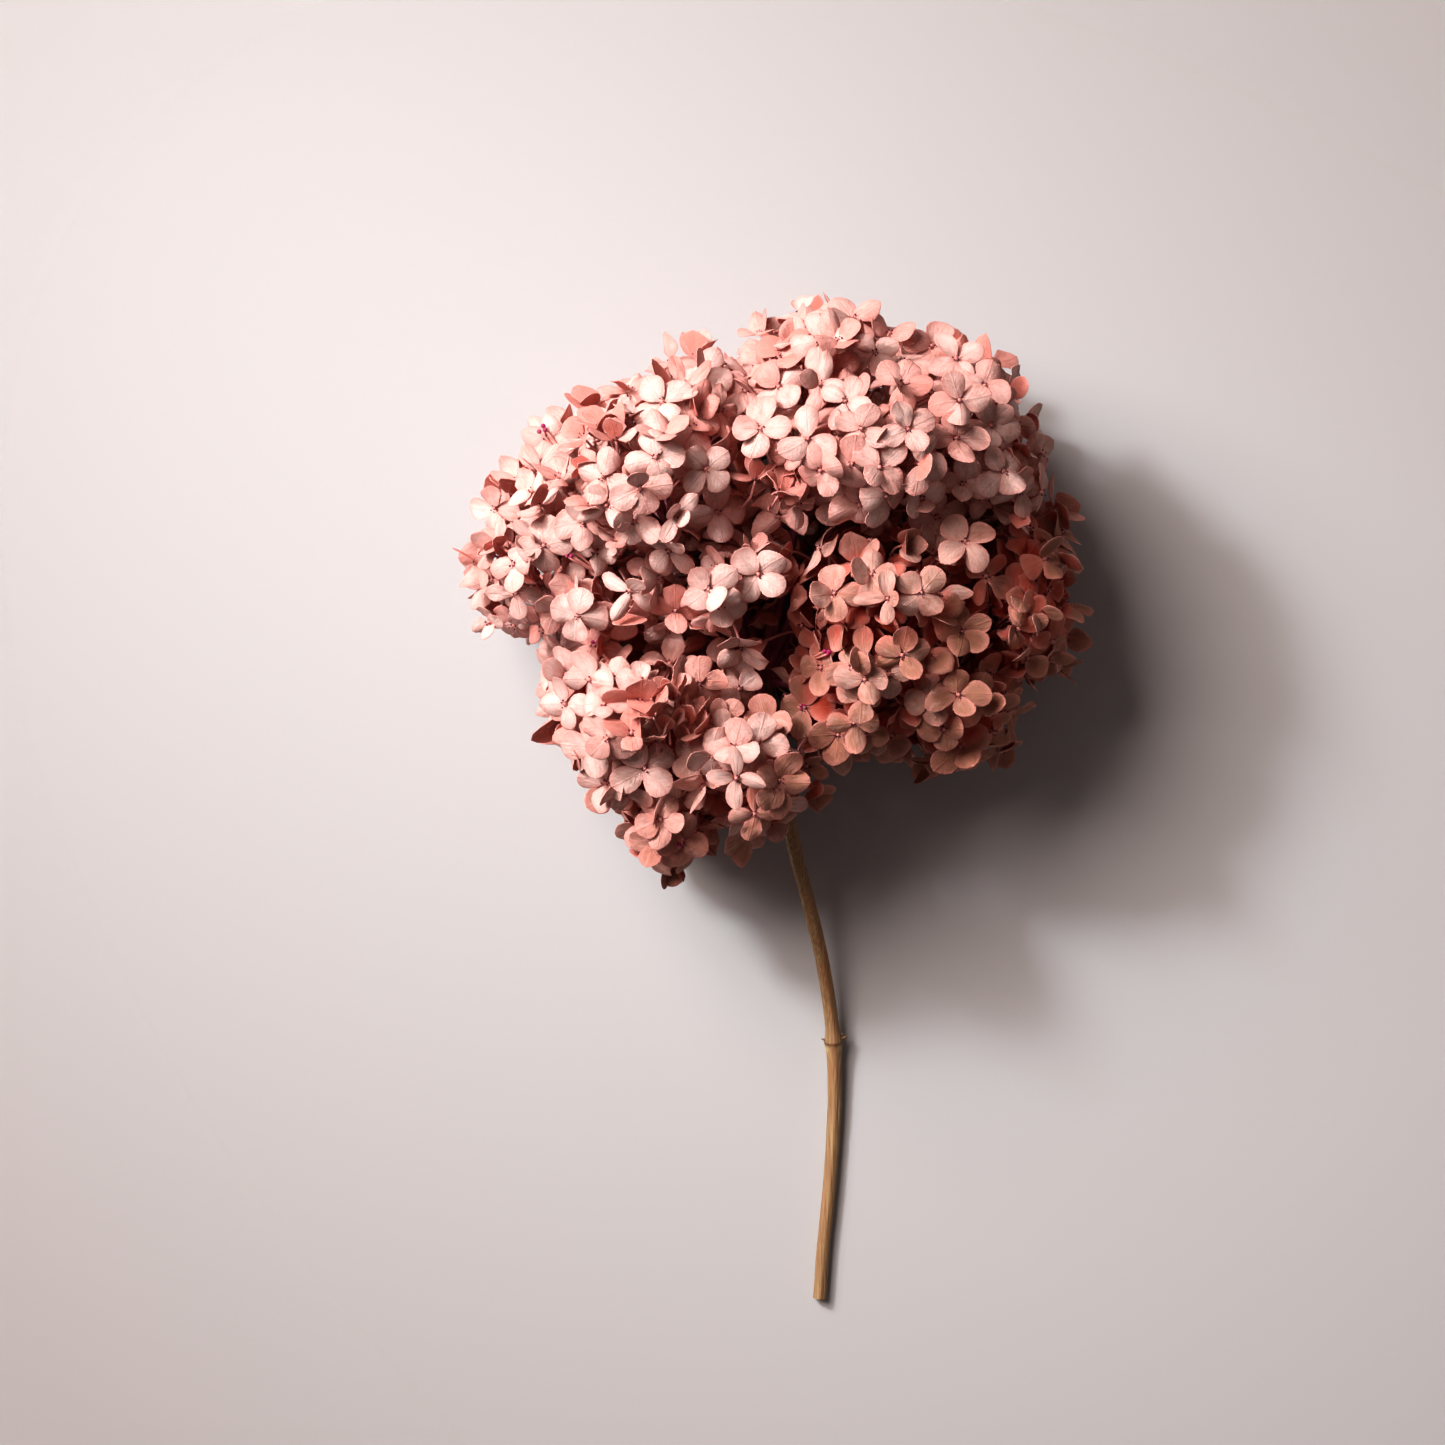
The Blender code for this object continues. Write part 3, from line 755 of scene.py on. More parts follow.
def laid_florets(radius, opening, rng):
    """The florets listed one by one."""
    florets = []
    for x, y, z, toward, lean, sepal, size, rise, tone in LAID:
        toward, lean, sepal, rise = (math.radians(value) for value in (toward, lean, sepal, rise))
        side = np.array((math.cos(toward), math.sin(toward), 0.0))
        out = UP * math.cos(lean) + side * math.sin(lean)
        first, second = square_to(out)
        way = np.array((math.cos(sepal), math.sin(sepal), 0.0))
        spin = math.atan2(way @ second, way @ first)
        size = LAID_STRETCH * size * MM * radius / FLORET_RADIUS
        place = within_room(np.array((x, y, z)) * MM, size)
        rise += opening + rng.normal(0, LAID_OPENING_SPREAD)
        florets.append(Floret(lobe_of(place), place, out, size, spin, rise, 0, tone, True))
    return florets


def drawn_floret(start, outward, level, layer, radius, opening, rng):
    """A floret at a place on the surface with its way out, turned and opened by draws."""
    side = np.clip(1 - abs(outward[2] - SIDE_MIDDLE) / SIDE_REACH, 0, 1)
    out = unit(outward + UP * SIDE_LIFT * side)
    way = turned(square_to(out)[0], out, rng.uniform(0, math.tau))
    lean = math.radians(LAYERS[layer][2]) * rng.beta(*LEAN_SHAPE)
    if outward[2] < SIDE_REACH and lobe_of(start) == "lower":
        level = min(level, LOWER_SIDE_LEVEL)
    place = start + out * (level + rng.normal(0, HEIGHT_SPREAD)) + rng.normal(0, PLACE_SPREAD, 3)
    size = radius * rng.uniform(*SIZE_RANGE)
    spin = rng.uniform(0, math.tau)
    rise = opening + rng.normal(0, OPENING_SPREAD)
    if rng.random() < CUPPED_SHARE:
        rise += math.radians(rng.uniform(*CUPPED_RISE))
        size *= CUPPED_SIZE
    tone = np.clip(rng.normal(*FLORET_TONE), 0, 1)
    place = within_room(place, size)
    leaning = turned(out, way, lean)
    return Floret(lobe_of(place), place, leaning, size, spin, rise, layer, tone, False)


@functools.lru_cache(maxsize=2)
def head_florets(radius, opening):
    """All the florets of the head: those listed one by one, and the others from fixed draws."""
    rng = np.random.default_rng(SEED)
    florets = laid_florets(radius, opening, rng)
    laid = np.array([floret.place for floret in florets])
    for layer, (inset, spacing, _) in enumerate(LAYERS):
        places, outs = surface_places(inset, spacing)
        if layer == 0:
            clear = (gaps_to(places, laid) > LAID_CLEARANCE * spacing) & ~in_hollow(places)
            places, outs = places[clear], outs[clear]
        kept = thinned(places, spacing)
        for index, level in zip(kept, stacked(places[kept], spacing, laid)):
            found = (places[index], outs[index], level, layer)
            florets.append(drawn_floret(*found, radius, opening, rng))
    return florets


def floret_sepals(floret, rng):
    """The three to five sepals of a floret, in two overlapping pairs."""
    count = rng.choice(SEPAL_COUNTS, p=COUNT_CHANCES)
    slimness = rng.uniform(*SLIMNESS) if rng.random() < SLIM_SHARE else 1.0
    upright = STANDING_SHARES[floret.laid]
    sepals = []
    for i in range(count):
        size, lift, rise = PAIRS[i % 2]
        standing = rng.uniform(*STANDING_RISE) if rng.random() < upright else 0.0
        spin = floret.spin + math.tau * i / count + rng.normal(0, SPIN_SPREAD)
        length = floret.radius * rng.uniform(*LENGTH_RANGE) * size
        width = floret.radius * rng.uniform(*WIDTH_RANGE) * slimness
        point = rng.uniform(0.0, MOST_POINTED)
        sway = rng.normal(0, SWAY_SPREAD)
        rise = min(floret.opening + rise + rng.normal(0, RISE_SPREAD) + standing, MOST_RISE)
        bend = rng.normal(*BEND)
        droop = rng.normal(*DROOP)
        droop += rng.uniform(*DROOPING) if rng.random() < DROOPING_SHARE else 0
        wave = (rng.uniform(*WAVE_RANGE) * MM, rng.integers(*WAVES), rng.uniform(0, math.tau))
        tone = np.clip(floret.tone + rng.normal(0, SEPAL_TONE_SPREAD), 0, 1)
        bends = (sway, lift, rise, bend, droop, wave)
        sepals.append(Sepal(floret, spin, length, width, point, *bends, tone))
    return sepals


def sepal_grid(grid):
    """The grid of a sepal: the ring radius and spoke angle of one side, and all its faces."""
    rings, spokes = grid
    angles = np.arange(spokes) * math.tau / spokes
    radius = np.concatenate([[0.0], np.repeat(rings, spokes)])
    angle = np.concatenate([[0.0], np.tile(angles, len(rings))])
    count = len(radius)
    first = count - spokes
    upper = []
    rim = []
    for spoke in range(spokes):
        after = (spoke + 1) % spokes
        upper.append((0, 1 + spoke, 1 + after))
        for ring in range(len(rings) - 1):
            inner = 1 + ring * spokes
            outer = inner + spokes
            upper.append((inner + spoke, outer + spoke, outer + after, inner + after))
        rim.append((first + spoke, first + count + spoke, first + count + after, first + after))
    under = [tuple(corner + count for corner in reversed(face)) for face in upper]
    return radius, angle, [*upper, *under, *rim]


def column(sepals, name):
    return np.array([getattr(sepal, name) for sepal in sepals])[:, None]


def sepal_points(sepals, radius, angle):
    """The corners of many sepals, as one array of sepal by corner, with their outline values."""
    turn = (angle + math.pi) % math.tau - math.pi
    tip = np.exp(-((turn / TIP_WIDTH) ** 2)) * radius
    base = ((1 - np.cos(angle)) / 2) ** 1.5
    flat_along = 0.5 + 0.5 * radius * np.cos(angle)
    across = radius * np.sin(angle) * (1 - BASE_NARROWING * base)
    along = flat_along + 0.5 * column(sepals, "point") * tip
    length = column(sepals, "length")
    width = column(sepals, "width")
    rise = column(sepals, "rise")
    bend = column(sepals, "bend")
    wave, waves, phase = np.array([sepal.wave for sepal in sepals]).T[..., None]
    tilt = rise + bend * along
    reach = length * along
    x = SEPAL_START + reach * np.cos(rise + bend * along / 2)
    z = column(sepals, "lift") + reach * np.sin(rise + bend * along / 2)
    y = width / 2 * across + column(sepals, "sway") * length * along**2
    z = z - column(sepals, "droop") * width / 2 * across**2
    z = z + wave * radius**3 * np.sin(waves * angle + phase)
    z = z - GROOVE_DEPTH * np.exp(-((across / GROOVE_WIDTH) ** 2)) * (1 - flat_along)
    thickness = SEPAL_THICKNESS * (1 - EDGE_THINNING * radius**3)
    upper = np.stack([x, y, z], axis=2)
    normal = np.stack([-np.sin(tilt), np.zeros_like(tilt), np.cos(tilt)], axis=2)
    under = upper - thickness[None, :, None] * normal
    return np.concatenate([upper, under], axis=1), flat_along, across


def placed(points, sepals):
    """Sepal corners moved from their own axes onto their florets."""
    frames = []
    for sepal in sepals:
        first, second = square_to(sepal.floret.out)
        along = first * math.cos(sepal.spin) + second * math.sin(sepal.spin)
        frames.append((along, np.cross(sepal.floret.out, along), sepal.floret.out))
    frames = np.array(frames)
    places = np.array([sepal.floret.place for sepal in sepals])
    world = np.einsum("nij,nik->njk", frames, points.transpose(0, 2, 1)).transpose(0, 2, 1)
    return above_floor(world + places[:, None])


def above_floor(corners):
    """Corners pressed smoothly down to just above the surface, where they would pass it."""
    room = FLOOR_ZONE - FLOOR_LEVEL
    low = np.minimum((corners[..., 2] - FLOOR_ZONE) / room, 0)
    pressed = FLOOR_LEVEL + room * np.exp(low)
    corners[..., 2] = np.where(low < 0, pressed, corners[..., 2])
    return corners


def mesh_from(name, points, faces, attributes=None):
    """A smooth-shaded mesh from arrays, with a value or a vector for each corner by name."""
    mesh = bpy.data.meshes.new(name)
    mesh.from_pydata(points.reshape(-1, 3).tolist(), [], faces)
    for label, values in (attributes or {}).items():
        kind = "FLOAT_VECTOR" if values.ndim > 1 and values.shape[-1] == 3 else "FLOAT"
        made = mesh.attributes.new(label, kind, "POINT")
        made.data.foreach_set("vector" if kind == "FLOAT_VECTOR" else "value", values.ravel())
    mesh.shade_smooth()
    return mesh


def repeated_faces(faces, corners, count):
    """The faces of one piece, repeated for many pieces of that many corners."""
    found = []
    for i in range(count):
        first = i * corners
        found.extend(tuple(first + corner for corner in face) for face in faces)
    return found


def new_piece(name, mesh, material):
    """A piece of the object that rides with the head and takes a material."""
    piece = bpy.data.objects.new(name, mesh)
    bpy.context.scene.collection.objects.link(piece)
    mesh.materials.append(material)
    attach(piece, "root")
    return piece


def sepal_mesh(name, florets, grid, seed):
    rng = np.random.default_rng((SEED, seed))
    sepals = [sepal for floret in florets for sepal in floret_sepals(floret, rng)]
    radius, angle, faces = sepal_grid(grid)
    points, along, across = sepal_points(sepals, radius, angle)
    count = len(along)
    corners = placed(points, sepals)
    number = np.arange(len(sepals))[:, None] * np.ones(2 * count)
    leaf = [np.tile(values, (len(sepals), 2)) for values in (along, across)]
    attributes = {
        "leaf": np.stack([*leaf, number], axis=2),
        "tone": column(sepals, "tone") * np.ones(2 * count),
        "under": np.tile(np.repeat([0.0, 1.0], count), (len(sepals), 1)),
        "edge": np.tile(radius, (len(sepals), 2)),
        "depth": depths_within(corners),
    }
    return mesh_from(name, corners, repeated_faces(faces, 2 * count, len(sepals)), attributes)


class Nodes:
    """Adds nodes to a tree, with their settings and what feeds their inputs."""

    def __init__(self, tree):
        self.tree = tree

    def add(self, kind, inputs=None, **settings):
        node = self.tree.nodes.new(kind)
        for name, value in settings.items():
            setattr(node, name, value)
        for key, value in (inputs or {}).items():
            if isinstance(value, bpy.types.NodeSocket):
                self.tree.links.new(value, node.inputs[key])
            else:
                node.inputs[key].default_value = value
        return node

    def math(self, operation, *values, clamp=False):
        inputs = dict(enumerate(values))
        return self.add("ShaderNodeMath", inputs, operation=operation, use_clamp=clamp).outputs[0]

    def mix(self, factor, one, other):
        inputs = {0: factor, 6: one, 7: other}
        return self.add("ShaderNodeMix", inputs, data_type="RGBA").outputs[2]

    def spread(self, value, low, high, start=0.0, end=1.0):
        inputs = {0: value, 1: low, 2: high, 3: start, 4: end}
        return self.add("ShaderNodeMapRange", inputs, clamp=True).outputs[0]

    def attribute(self, name, output="Fac"):
        settings = {"attribute_name": name, "attribute_type": "GEOMETRY"}
        return self.add("ShaderNodeAttribute", **settings).outputs[output]


def shared_group(name, inputs, fill):
    """The node group of this name, with one value as its output, made when it is first used."""
    if name in bpy.data.node_groups:
        return bpy.data.node_groups[name]
    group = bpy.data.node_groups.new(name, "ShaderNodeTree")
    for label, value in inputs.items():
        kind = "NodeSocketVector" if value is None else "NodeSocketFloat"
        socket = group.interface.new_socket(label, in_out="INPUT", socket_type=kind)
        if value is not None:
            socket.default_value = value
    group.interface.new_socket("Value", in_out="OUTPUT", socket_type="NodeSocketFloat")
    nodes = Nodes(group)
    start, end = nodes.add("NodeGroupInput"), nodes.add("NodeGroupOutput")
    group.links.new(fill(nodes, start.outputs), end.inputs[0])
    return group


def vein_group():
    """Midrib, side veins and the fine net between them, as a mask over a sepal's own axes."""
    return shared_group("Sepal veins", {"Leaf": None, "Net scale": 9.0}, veins_within)


def veins_within(nodes, given):
    axes = nodes.add("ShaderNodeSeparateXYZ", {0: given["Leaf"]})
    along, across = axes.outputs[0], axes.outputs[1]
    side = nodes.math("ABSOLUTE", across)
    waver = nodes.add("ShaderNodeTexNoise", {"Vector": given["Leaf"], "Scale": 3.0})
    lines = nodes.math("MULTIPLY_ADD", side, -3.0, nodes.math("MULTIPLY", along, 6.5))
    lines = nodes.math("MULTIPLY_ADD", waver.outputs[0], 0.9, lines)
    gap = nodes.math("PINGPONG", lines, 0.5)
    branches = nodes.spread(gap, 0.0, 0.09, 1.0, 0.0)
    midrib = nodes.spread(side, 0.0, 0.07, 1.0, 0.0)
    inputs = {"Vector": given["Leaf"], "Scale": given["Net scale"]}
    net = nodes.add("ShaderNodeTexVoronoi", inputs, feature="DISTANCE_TO_EDGE")
    meshes = nodes.spread(net.outputs[0], 0.0, 0.08, 0.55, 0.0)
    return nodes.math("MAXIMUM", nodes.math("MAXIMUM", branches, midrib), meshes)


def mottle_group():
    """Soft uneven patches at a size of its own, as a value round a half."""
    inputs = {"Vector": None, "Scale": 60.0, "Contrast": 1.0}
    return shared_group("Dry mottling", inputs, mottling_within)


def mottling_within(nodes, given):
    inputs = {"Vector": given["Vector"], "Scale": given["Scale"], "Detail": 5.0}
    noise = nodes.add("ShaderNodeTexNoise", inputs)
    centred = nodes.math("SUBTRACT", noise.outputs[0], 0.5)
    return nodes.math("MULTIPLY_ADD", centred, given["Contrast"], 0.5, clamp=True)


def fade_and_shade_group():
    """How faded a place on the head is: more so towards the lower right and low down, away from the
    key light, so that it is partly real fading and partly painted shade.
    """
    return shared_group("Fading and painted shade", {"Vector": None, "Amount": 0.5}, fade_and_shade_within)


def fade_and_shade_within(nodes, given):
    inputs = {0: given["Vector"], 1: FADE_AND_SHADE_WAY}
    away = nodes.add("ShaderNodeVectorMath", inputs, operation="DOT_PRODUCT").outputs["Value"]
    slope = nodes.spread(away, -0.105, 0.01, 0.0, 1.0)
    return nodes.math("MULTIPLY", slope, given["Amount"])


def place_group(nodes, group, inputs):
    return nodes.add("ShaderNodeGroup", inputs, node_tree=group).outputs[0]


def new_material(name):
    material = bpy.data.materials.new(name)
    material.use_nodes = True
    nodes = Nodes(material.node_tree)
    return material, nodes, material.node_tree.nodes["Principled BSDF"]


def finish_surface(nodes, shader, base, relief, strength, distance, roughness):
    """Gives a shader its colour, a small relief and its roughness."""
    nodes.tree.links.new(base, shader.inputs["Base Color"])
    inputs = {"Strength": strength, "Distance": distance, "Height": relief}
    bump = nodes.add("ShaderNodeBump", inputs)
    nodes.tree.links.new(bump.outputs[0], shader.inputs["Normal"])
    shader.inputs["Roughness"].default_value = roughness


def colour(value):
    return (*value, 1.0)


def sepal_material(lobe, settings, fade_and_shade_amount, blush, least_fade_and_shade, painted_shade_strength):
    """Papery sepal: pale face, coral back, a pale rim on the back's edge that is a painted
    highlight, faint veins, faded patches that are partly painted shade, and painted shade deep
    within the head.
    """
    material, nodes, shader = new_material("sepals_" + lobe)
    leaf = nodes.attribute("leaf", "Vector")
    names = ("tone", "under", "edge", "depth")
    tone, under, edge, depth = (nodes.attribute(name) for name in names)
    where = nodes.add("ShaderNodeTexCoord").outputs["Object"]
    patches = place_group(nodes, mottle_group(), {"Vector": where, "Scale": 42.0, "Contrast": 2.2})
    specks = place_group(nodes, mottle_group(), {"Vector": leaf, "Scale": 3.2, "Contrast": 2.0})
    veins = place_group(nodes, vein_group(), {"Leaf": leaf, "Net scale": 9.0})
    fade_and_shade = place_group(nodes, fade_and_shade_group(), {"Vector": where, "Amount": fade_and_shade_amount})

    rosiness = nodes.math("MULTIPLY_ADD", patches, 0.85, nodes.math("MULTIPLY", tone, 1.1))
    rosiness = nodes.math("MULTIPLY_ADD", specks, 0.35, rosiness)
    rosiness = nodes.math("ADD", rosiness, blush - 0.85, clamp=True)
    face = nodes.mix(rosiness, colour(settings.pale), colour(settings.rosy))
    # Fading to tan towards the lower right: partly real fading, partly painted shade away from the
    # key light.
    fade_and_shade_mix = nodes.math("MULTIPLY", fade_and_shade, nodes.math("MULTIPLY_ADD", tone, 1.3, 0.35))
    fade_and_shade_mix = nodes.math("ADD", fade_and_shade_mix, least_fade_and_shade - 0.25)
    faded = nodes.math("MULTIPLY_ADD", specks, 0.5, fade_and_shade_mix, clamp=True)
    face = nodes.mix(faded, face, colour(settings.tan))
    # Painted shade: sepals deep within the head are darkened to coral and then to the inner colour,
    # the more so in the darker lobes. This stands in for the shade among the florets and the red
    # glow of light through the sepals.
    shade = nodes.math("MULTIPLY_ADD", depth, painted_shade_strength, -0.1)
    shade = nodes.math("MULTIPLY_ADD", patches, 0.2, shade, clamp=True)
    face = nodes.mix(nodes.spread(shade, 0.0, 0.5, 0.0, 0.8), face, colour(settings.coral))
    face = nodes.mix(nodes.spread(shade, 0.4, 1.0), face, colour(settings.deep))
    back = nodes.mix(nodes.math("MULTIPLY", under, 0.75), face, colour(settings.coral))
    veined = nodes.mix(nodes.math("MULTIPLY", veins, 0.24), back, colour(settings.coral))
    margin = nodes.mix(nodes.spread(edge, 0.55, 0.96, 0.0, 0.5), veined, colour(settings.rosy))
    # Painted highlight: a pale rim on the back of each sepal's edge, where the thick edge would
    # catch the light.
    rim = nodes.math("MULTIPLY", nodes.spread(edge, 0.93, 1.0, 0.0, 0.6), under)
    final = nodes.mix(rim, margin, colour(settings.pale))
    relief = nodes.math("MULTIPLY_ADD", veins, 0.5, specks)
    finish_surface(nodes, shader, final, relief, 0.6, 0.5 * MM, 0.75)
    shader.inputs["Specular IOR Level"].default_value = 0.12
    return material


def smooth_route(points, step):
    """Points about a step apart on a smooth curve through the given points."""
    points = np.array(points, dtype=float)
    padded = [2 * points[0] - points[1], *points, 2 * points[-1] - points[-2]]
    route = []
    for a, b, c, d in zip(padded, padded[1:], padded[2:], padded[3:]):
        parts = max(1, round(np.linalg.norm((c - b)[:3]) / step))
        for t in np.arange(parts) / parts:
            square = 2 * a - 5 * b + 4 * c - d
            cube = 3 * b - a - 3 * c + d
            route.append(0.5 * (2 * b + (c - a) * t + square * t**2 + cube * t**3))
    return np.array([*route, points[-1]])


def curves_between(starts, bends, ends, count):
    """Many smooth curves at once, each from a start by way of a bend to an end."""
    t = np.linspace(0, 1, count)[None, :, None]
    return (1 - t) ** 2 * starts[:, None] + 2 * t * (1 - t) * bends[:, None] + t**2 * ends[:, None]


def tube_corners(lines, radii, sides):
    """Rings round many lines at once: lines by points by sides, flattened to lines by corners."""
    along = unit(np.gradient(lines, axis=1))
    guide = np.array((0.31, 0.17, 0.94))
    across = unit(np.cross(along, guide))
    over = np.cross(along, across)
    angle = np.arange(sides) * math.tau / sides
    ring = across[:, :, None] * np.cos(angle)[None, None, :, None]
    ring = ring + over[:, :, None] * np.sin(angle)[None, None, :, None]
    corners = lines[:, :, None] + radii[..., None, None] * ring
    return corners.reshape(len(lines), -1, 3)


def tube_faces(rings, sides):
    faces = []
    for ring in range(rings - 1):
        for side in range(sides):
            a = ring * sides + side
            b = ring * sides + (side + 1) % sides
            faces.append((a, b, b + sides, a + sides))
    faces.append(tuple(reversed(range(sides))))
    faces.append(tuple(range((rings - 1) * sides, rings * sides)))
    return faces


def stalk_tree(florets):
    """Lines of the flower stalks: floret to junction, junction to cluster, cluster to crown."""
    crown = np.array(STEM_ROUTE[-1][:3]) * MM
    stalks = []
    twigs = []
    rays = []
    for lobe in LOBES:
        centres, radii = cluster_arrays([lobe], 0)
        own = [floret for floret in florets if floret.lobe == lobe]
        places = np.array([floret.place for floret in own])
        nearest = cluster_depths(places, centres, radii).argmin(axis=1)
        for index, centre in enumerate(centres):
            hub = centre + HUB_SHARE * (crown - centre)
            rays.append((hub, 0.5 * (hub + crown) + np.array((0, 0, 4 * MM)), crown))
            members = [own[i] for i in np.nonzero(nearest == index)[0]]
            twigs_here = max(LEAST_TWIGS, len(members) // STALKS_PER_TWIG)
            directions = spiral_directions(twigs_here, index)
            groups = {}
            for floret in members:
                pull = unit(floret.place - hub)
                groups.setdefault(int((directions @ pull).argmax()), []).append(floret)
            for group in groups.values():
                middle = np.mean([floret.place for floret in group], axis=0)
                junction = hub + JUNCTION_SHARE * (middle - hub)
                twigs.append((junction, 0.5 * (junction + hub), hub))
                for floret in group:
                    start = floret.place - 0.5 * MM * floret.out
                    bend = start - 0.5 * np.linalg.norm(start - junction) * floret.out
                    stalks.append((start, bend, junction))
    return stalks, twigs, rays


def tubes(lines, radii, rings, sides):
    """The corners and faces of many round tubes that taper from one radius to the other."""
    starts, bends, ends = (np.array(points) for points in zip(*lines))
    routes = curves_between(starts, bends, ends, rings)
    sizes = np.linspace(*radii, rings)[None] * np.ones((len(lines), 1))
    corners = tube_corners(routes, sizes, sides)
    return corners, repeated_faces(tube_faces(rings, sides), rings * sides, len(lines))


def stalk_mesh(florets, radius):
    """All the flower stalks as tubes that thicken and darken towards the stem."""
    parts = []
    for lines, (kind, shares, rings, sides) in zip(stalk_tree(florets), STALK_TUBES):
        radii = [share * radius for share in shares]
        parts.append((kind, tubes(lines, radii, rings, sides)))
    return joined_mesh("flower_stalks", parts)


def ball(rings, sides):
    """The corners and faces of a small unit ball with its poles along z."""
    points = [(0.0, 0.0, 1.0)]
    for ring in range(1, rings):
        polar = math.pi * ring / rings
        for side in range(sides):
            angle = math.tau * side / sides
            around = (math.sin(polar) * math.cos(angle), math.sin(polar) * math.sin(angle))
            points.append((*around, math.cos(polar)))
    points.append((0.0, 0.0, -1.0))
    last = len(points) - 1
    faces = []
    for side in range(sides):
        after = (side + 1) % sides
        faces.append((0, 1 + side, 1 + after))
        faces.append((last, last - sides + after, last - sides + side))
        for ring in range(rings - 2):
            a = 1 + ring * sides
            faces.append((a + side, a + sides + side, a + sides + after, a + after))
    return np.array(points), faces


def beads(places, sizes, rings, sides):
    """Many small balls at once, each with its middle and the axis of its poles."""
    points, faces = ball(rings, sides)
    corners = []
    for (middle, axis), size in zip(places, sizes):
        side, other = square_to(axis)
        corners.append((points * size) @ np.array((side, other, axis)) + middle)
    return np.concatenate(corners), repeated_faces(faces, len(points), len(places))


def joined(parts):
    """The corners and faces of several blocks as one block."""
    corners = []
    faces = []
    first = 0
    for block, own in parts:
        corners.append(block.reshape(-1, 3))
        faces.extend(tuple(first + corner for corner in face) for face in own)
        first += len(corners[-1])
    return np.concatenate(corners), faces


def joined_mesh(name, parts):
    """One mesh from several blocks of corners and faces, each with its own value of kind."""
    corners, faces = joined([part for _, part in parts])
    kinds = [np.full(part[0].size // 3, kind, dtype=float) for kind, part in parts]
    return mesh_from(name, above_floor(corners), faces, {"kind": np.concatenate(kinds)})


def heart_mesh(florets):
    """The tiny closed bud at the middle of each outer floret, with its dark dry anthers."""
    rng = np.random.default_rng(SEED + 1)
    hearts = []
    anthers = []
    for floret in florets:
        if floret.layer:
            continue
        side, other = square_to(floret.out)
        middle = floret.place + HEART_HEIGHT * floret.out
        hearts.append((middle, floret.out))
        spin = rng.uniform(0, math.tau)
        for i in range(ANTHERS):
            angle = spin + math.tau * i / ANTHERS + rng.normal(0, ANTHER_SPREAD)
            way = side * math.cos(angle) + other * math.sin(angle)
            reach = rng.uniform(*ANTHER_REACH) * MM
            place = middle + way * reach + floret.out * rng.uniform(*ANTHER_HEIGHT) * MM
            anthers.append((place, floret.out))
    sizes = rng.uniform(*HEART_SIZE, len(hearts)) * MM
    dark = rng.uniform(*ANTHER_SIZE, len(anthers)) * MM
    parts = ((0.0, beads(hearts, sizes, 4, 8)), (1.0, beads(anthers, dark, 3, 5)))
    return joined_mesh("floret_hearts", parts)


def bud_mesh():
    """Small clusters of closed buds, each on a stalk of its own that reaches into the head."""
    rng = np.random.default_rng(SEED + 3)
    crown = np.array(STEM_ROUTE[-1][:3]) * MM
    buds = []
    stalks = []
    for place in np.array(BUDS) * MM:
        inward = unit(crown - place)
        for _ in range(BUDS_TOGETHER):
            middle = place + rng.normal(0, 0.8 * BUD_RADIUS, 3)
            buds.append((middle, -inward))
            stalks.append((middle, middle + 5 * MM * inward, place + 14 * MM * inward))
    sizes = rng.uniform(*BUD_SIZE, len(buds)) * BUD_RADIUS
    threads = tubes(stalks, (0.35 * MM, 0.45 * MM), 4, 5)
    return joined_mesh("closed_buds", ((0.0, beads(buds, sizes, 6, 10)), (1.0, threads)))


def bark_radii(centres, radii, angle, rng):
    """The stem's radius by ring and side: swollen at the joint, ridged and lumpy."""
    along = np.arange(len(centres))[:, None] * STEM_RING_STEP
    below = (JOINT_AT - centres[:, 1]) / JOINT_LENGTH
    shoulder = JOINT_SHOULDER * np.exp(-np.abs(below) / SHOULDER_REACH)
    swell = JOINT_SWELL * np.exp(-(below**2)) + np.where(below > 0, shoulder, 0)
    ridges = sum(height * np.cos(count * angle + twist * along) for height, count, twist in RIDGES)
    lumps = np.cumsum(rng.normal(0, LUMP_STEP, (len(centres), STEM_SIDES)), axis=0)
    beside = np.roll(lumps, LUMP_REACH, axis=0), np.roll(lumps, -LUMP_REACH, axis=0)
    lumps -= (lumps + beside[0] + beside[1]) / 3
    return radii[:, None] + swell[:, None] + ridges + np.clip(lumps, -LUMP_LIMIT, LUMP_LIMIT)


def stem_marks(centres, angle):
    """Where the joint's scar and its pale leaf scars lie on the bark, and the pith on the cut."""
    height = (centres[:, 1] - JOINT_AT)[:, None]
    scar = np.exp(-(((height + SCAR_DIP * np.abs(np.cos(angle))) / SCAR_WIDTH) ** 2))
    pale = np.exp(-(((height + LEAF_SCAR_DEPTH) / LEAF_SCAR_LENGTH) ** 2)) * np.sin(angle) ** 2
    pith = np.zeros(scar.shape)
    pith[: len(CUT_RINGS)] = np.array([shown for *_, shown in CUT_RINGS])[:, None]
    return {"scar": scar, "pale": pale, "pith": pith}


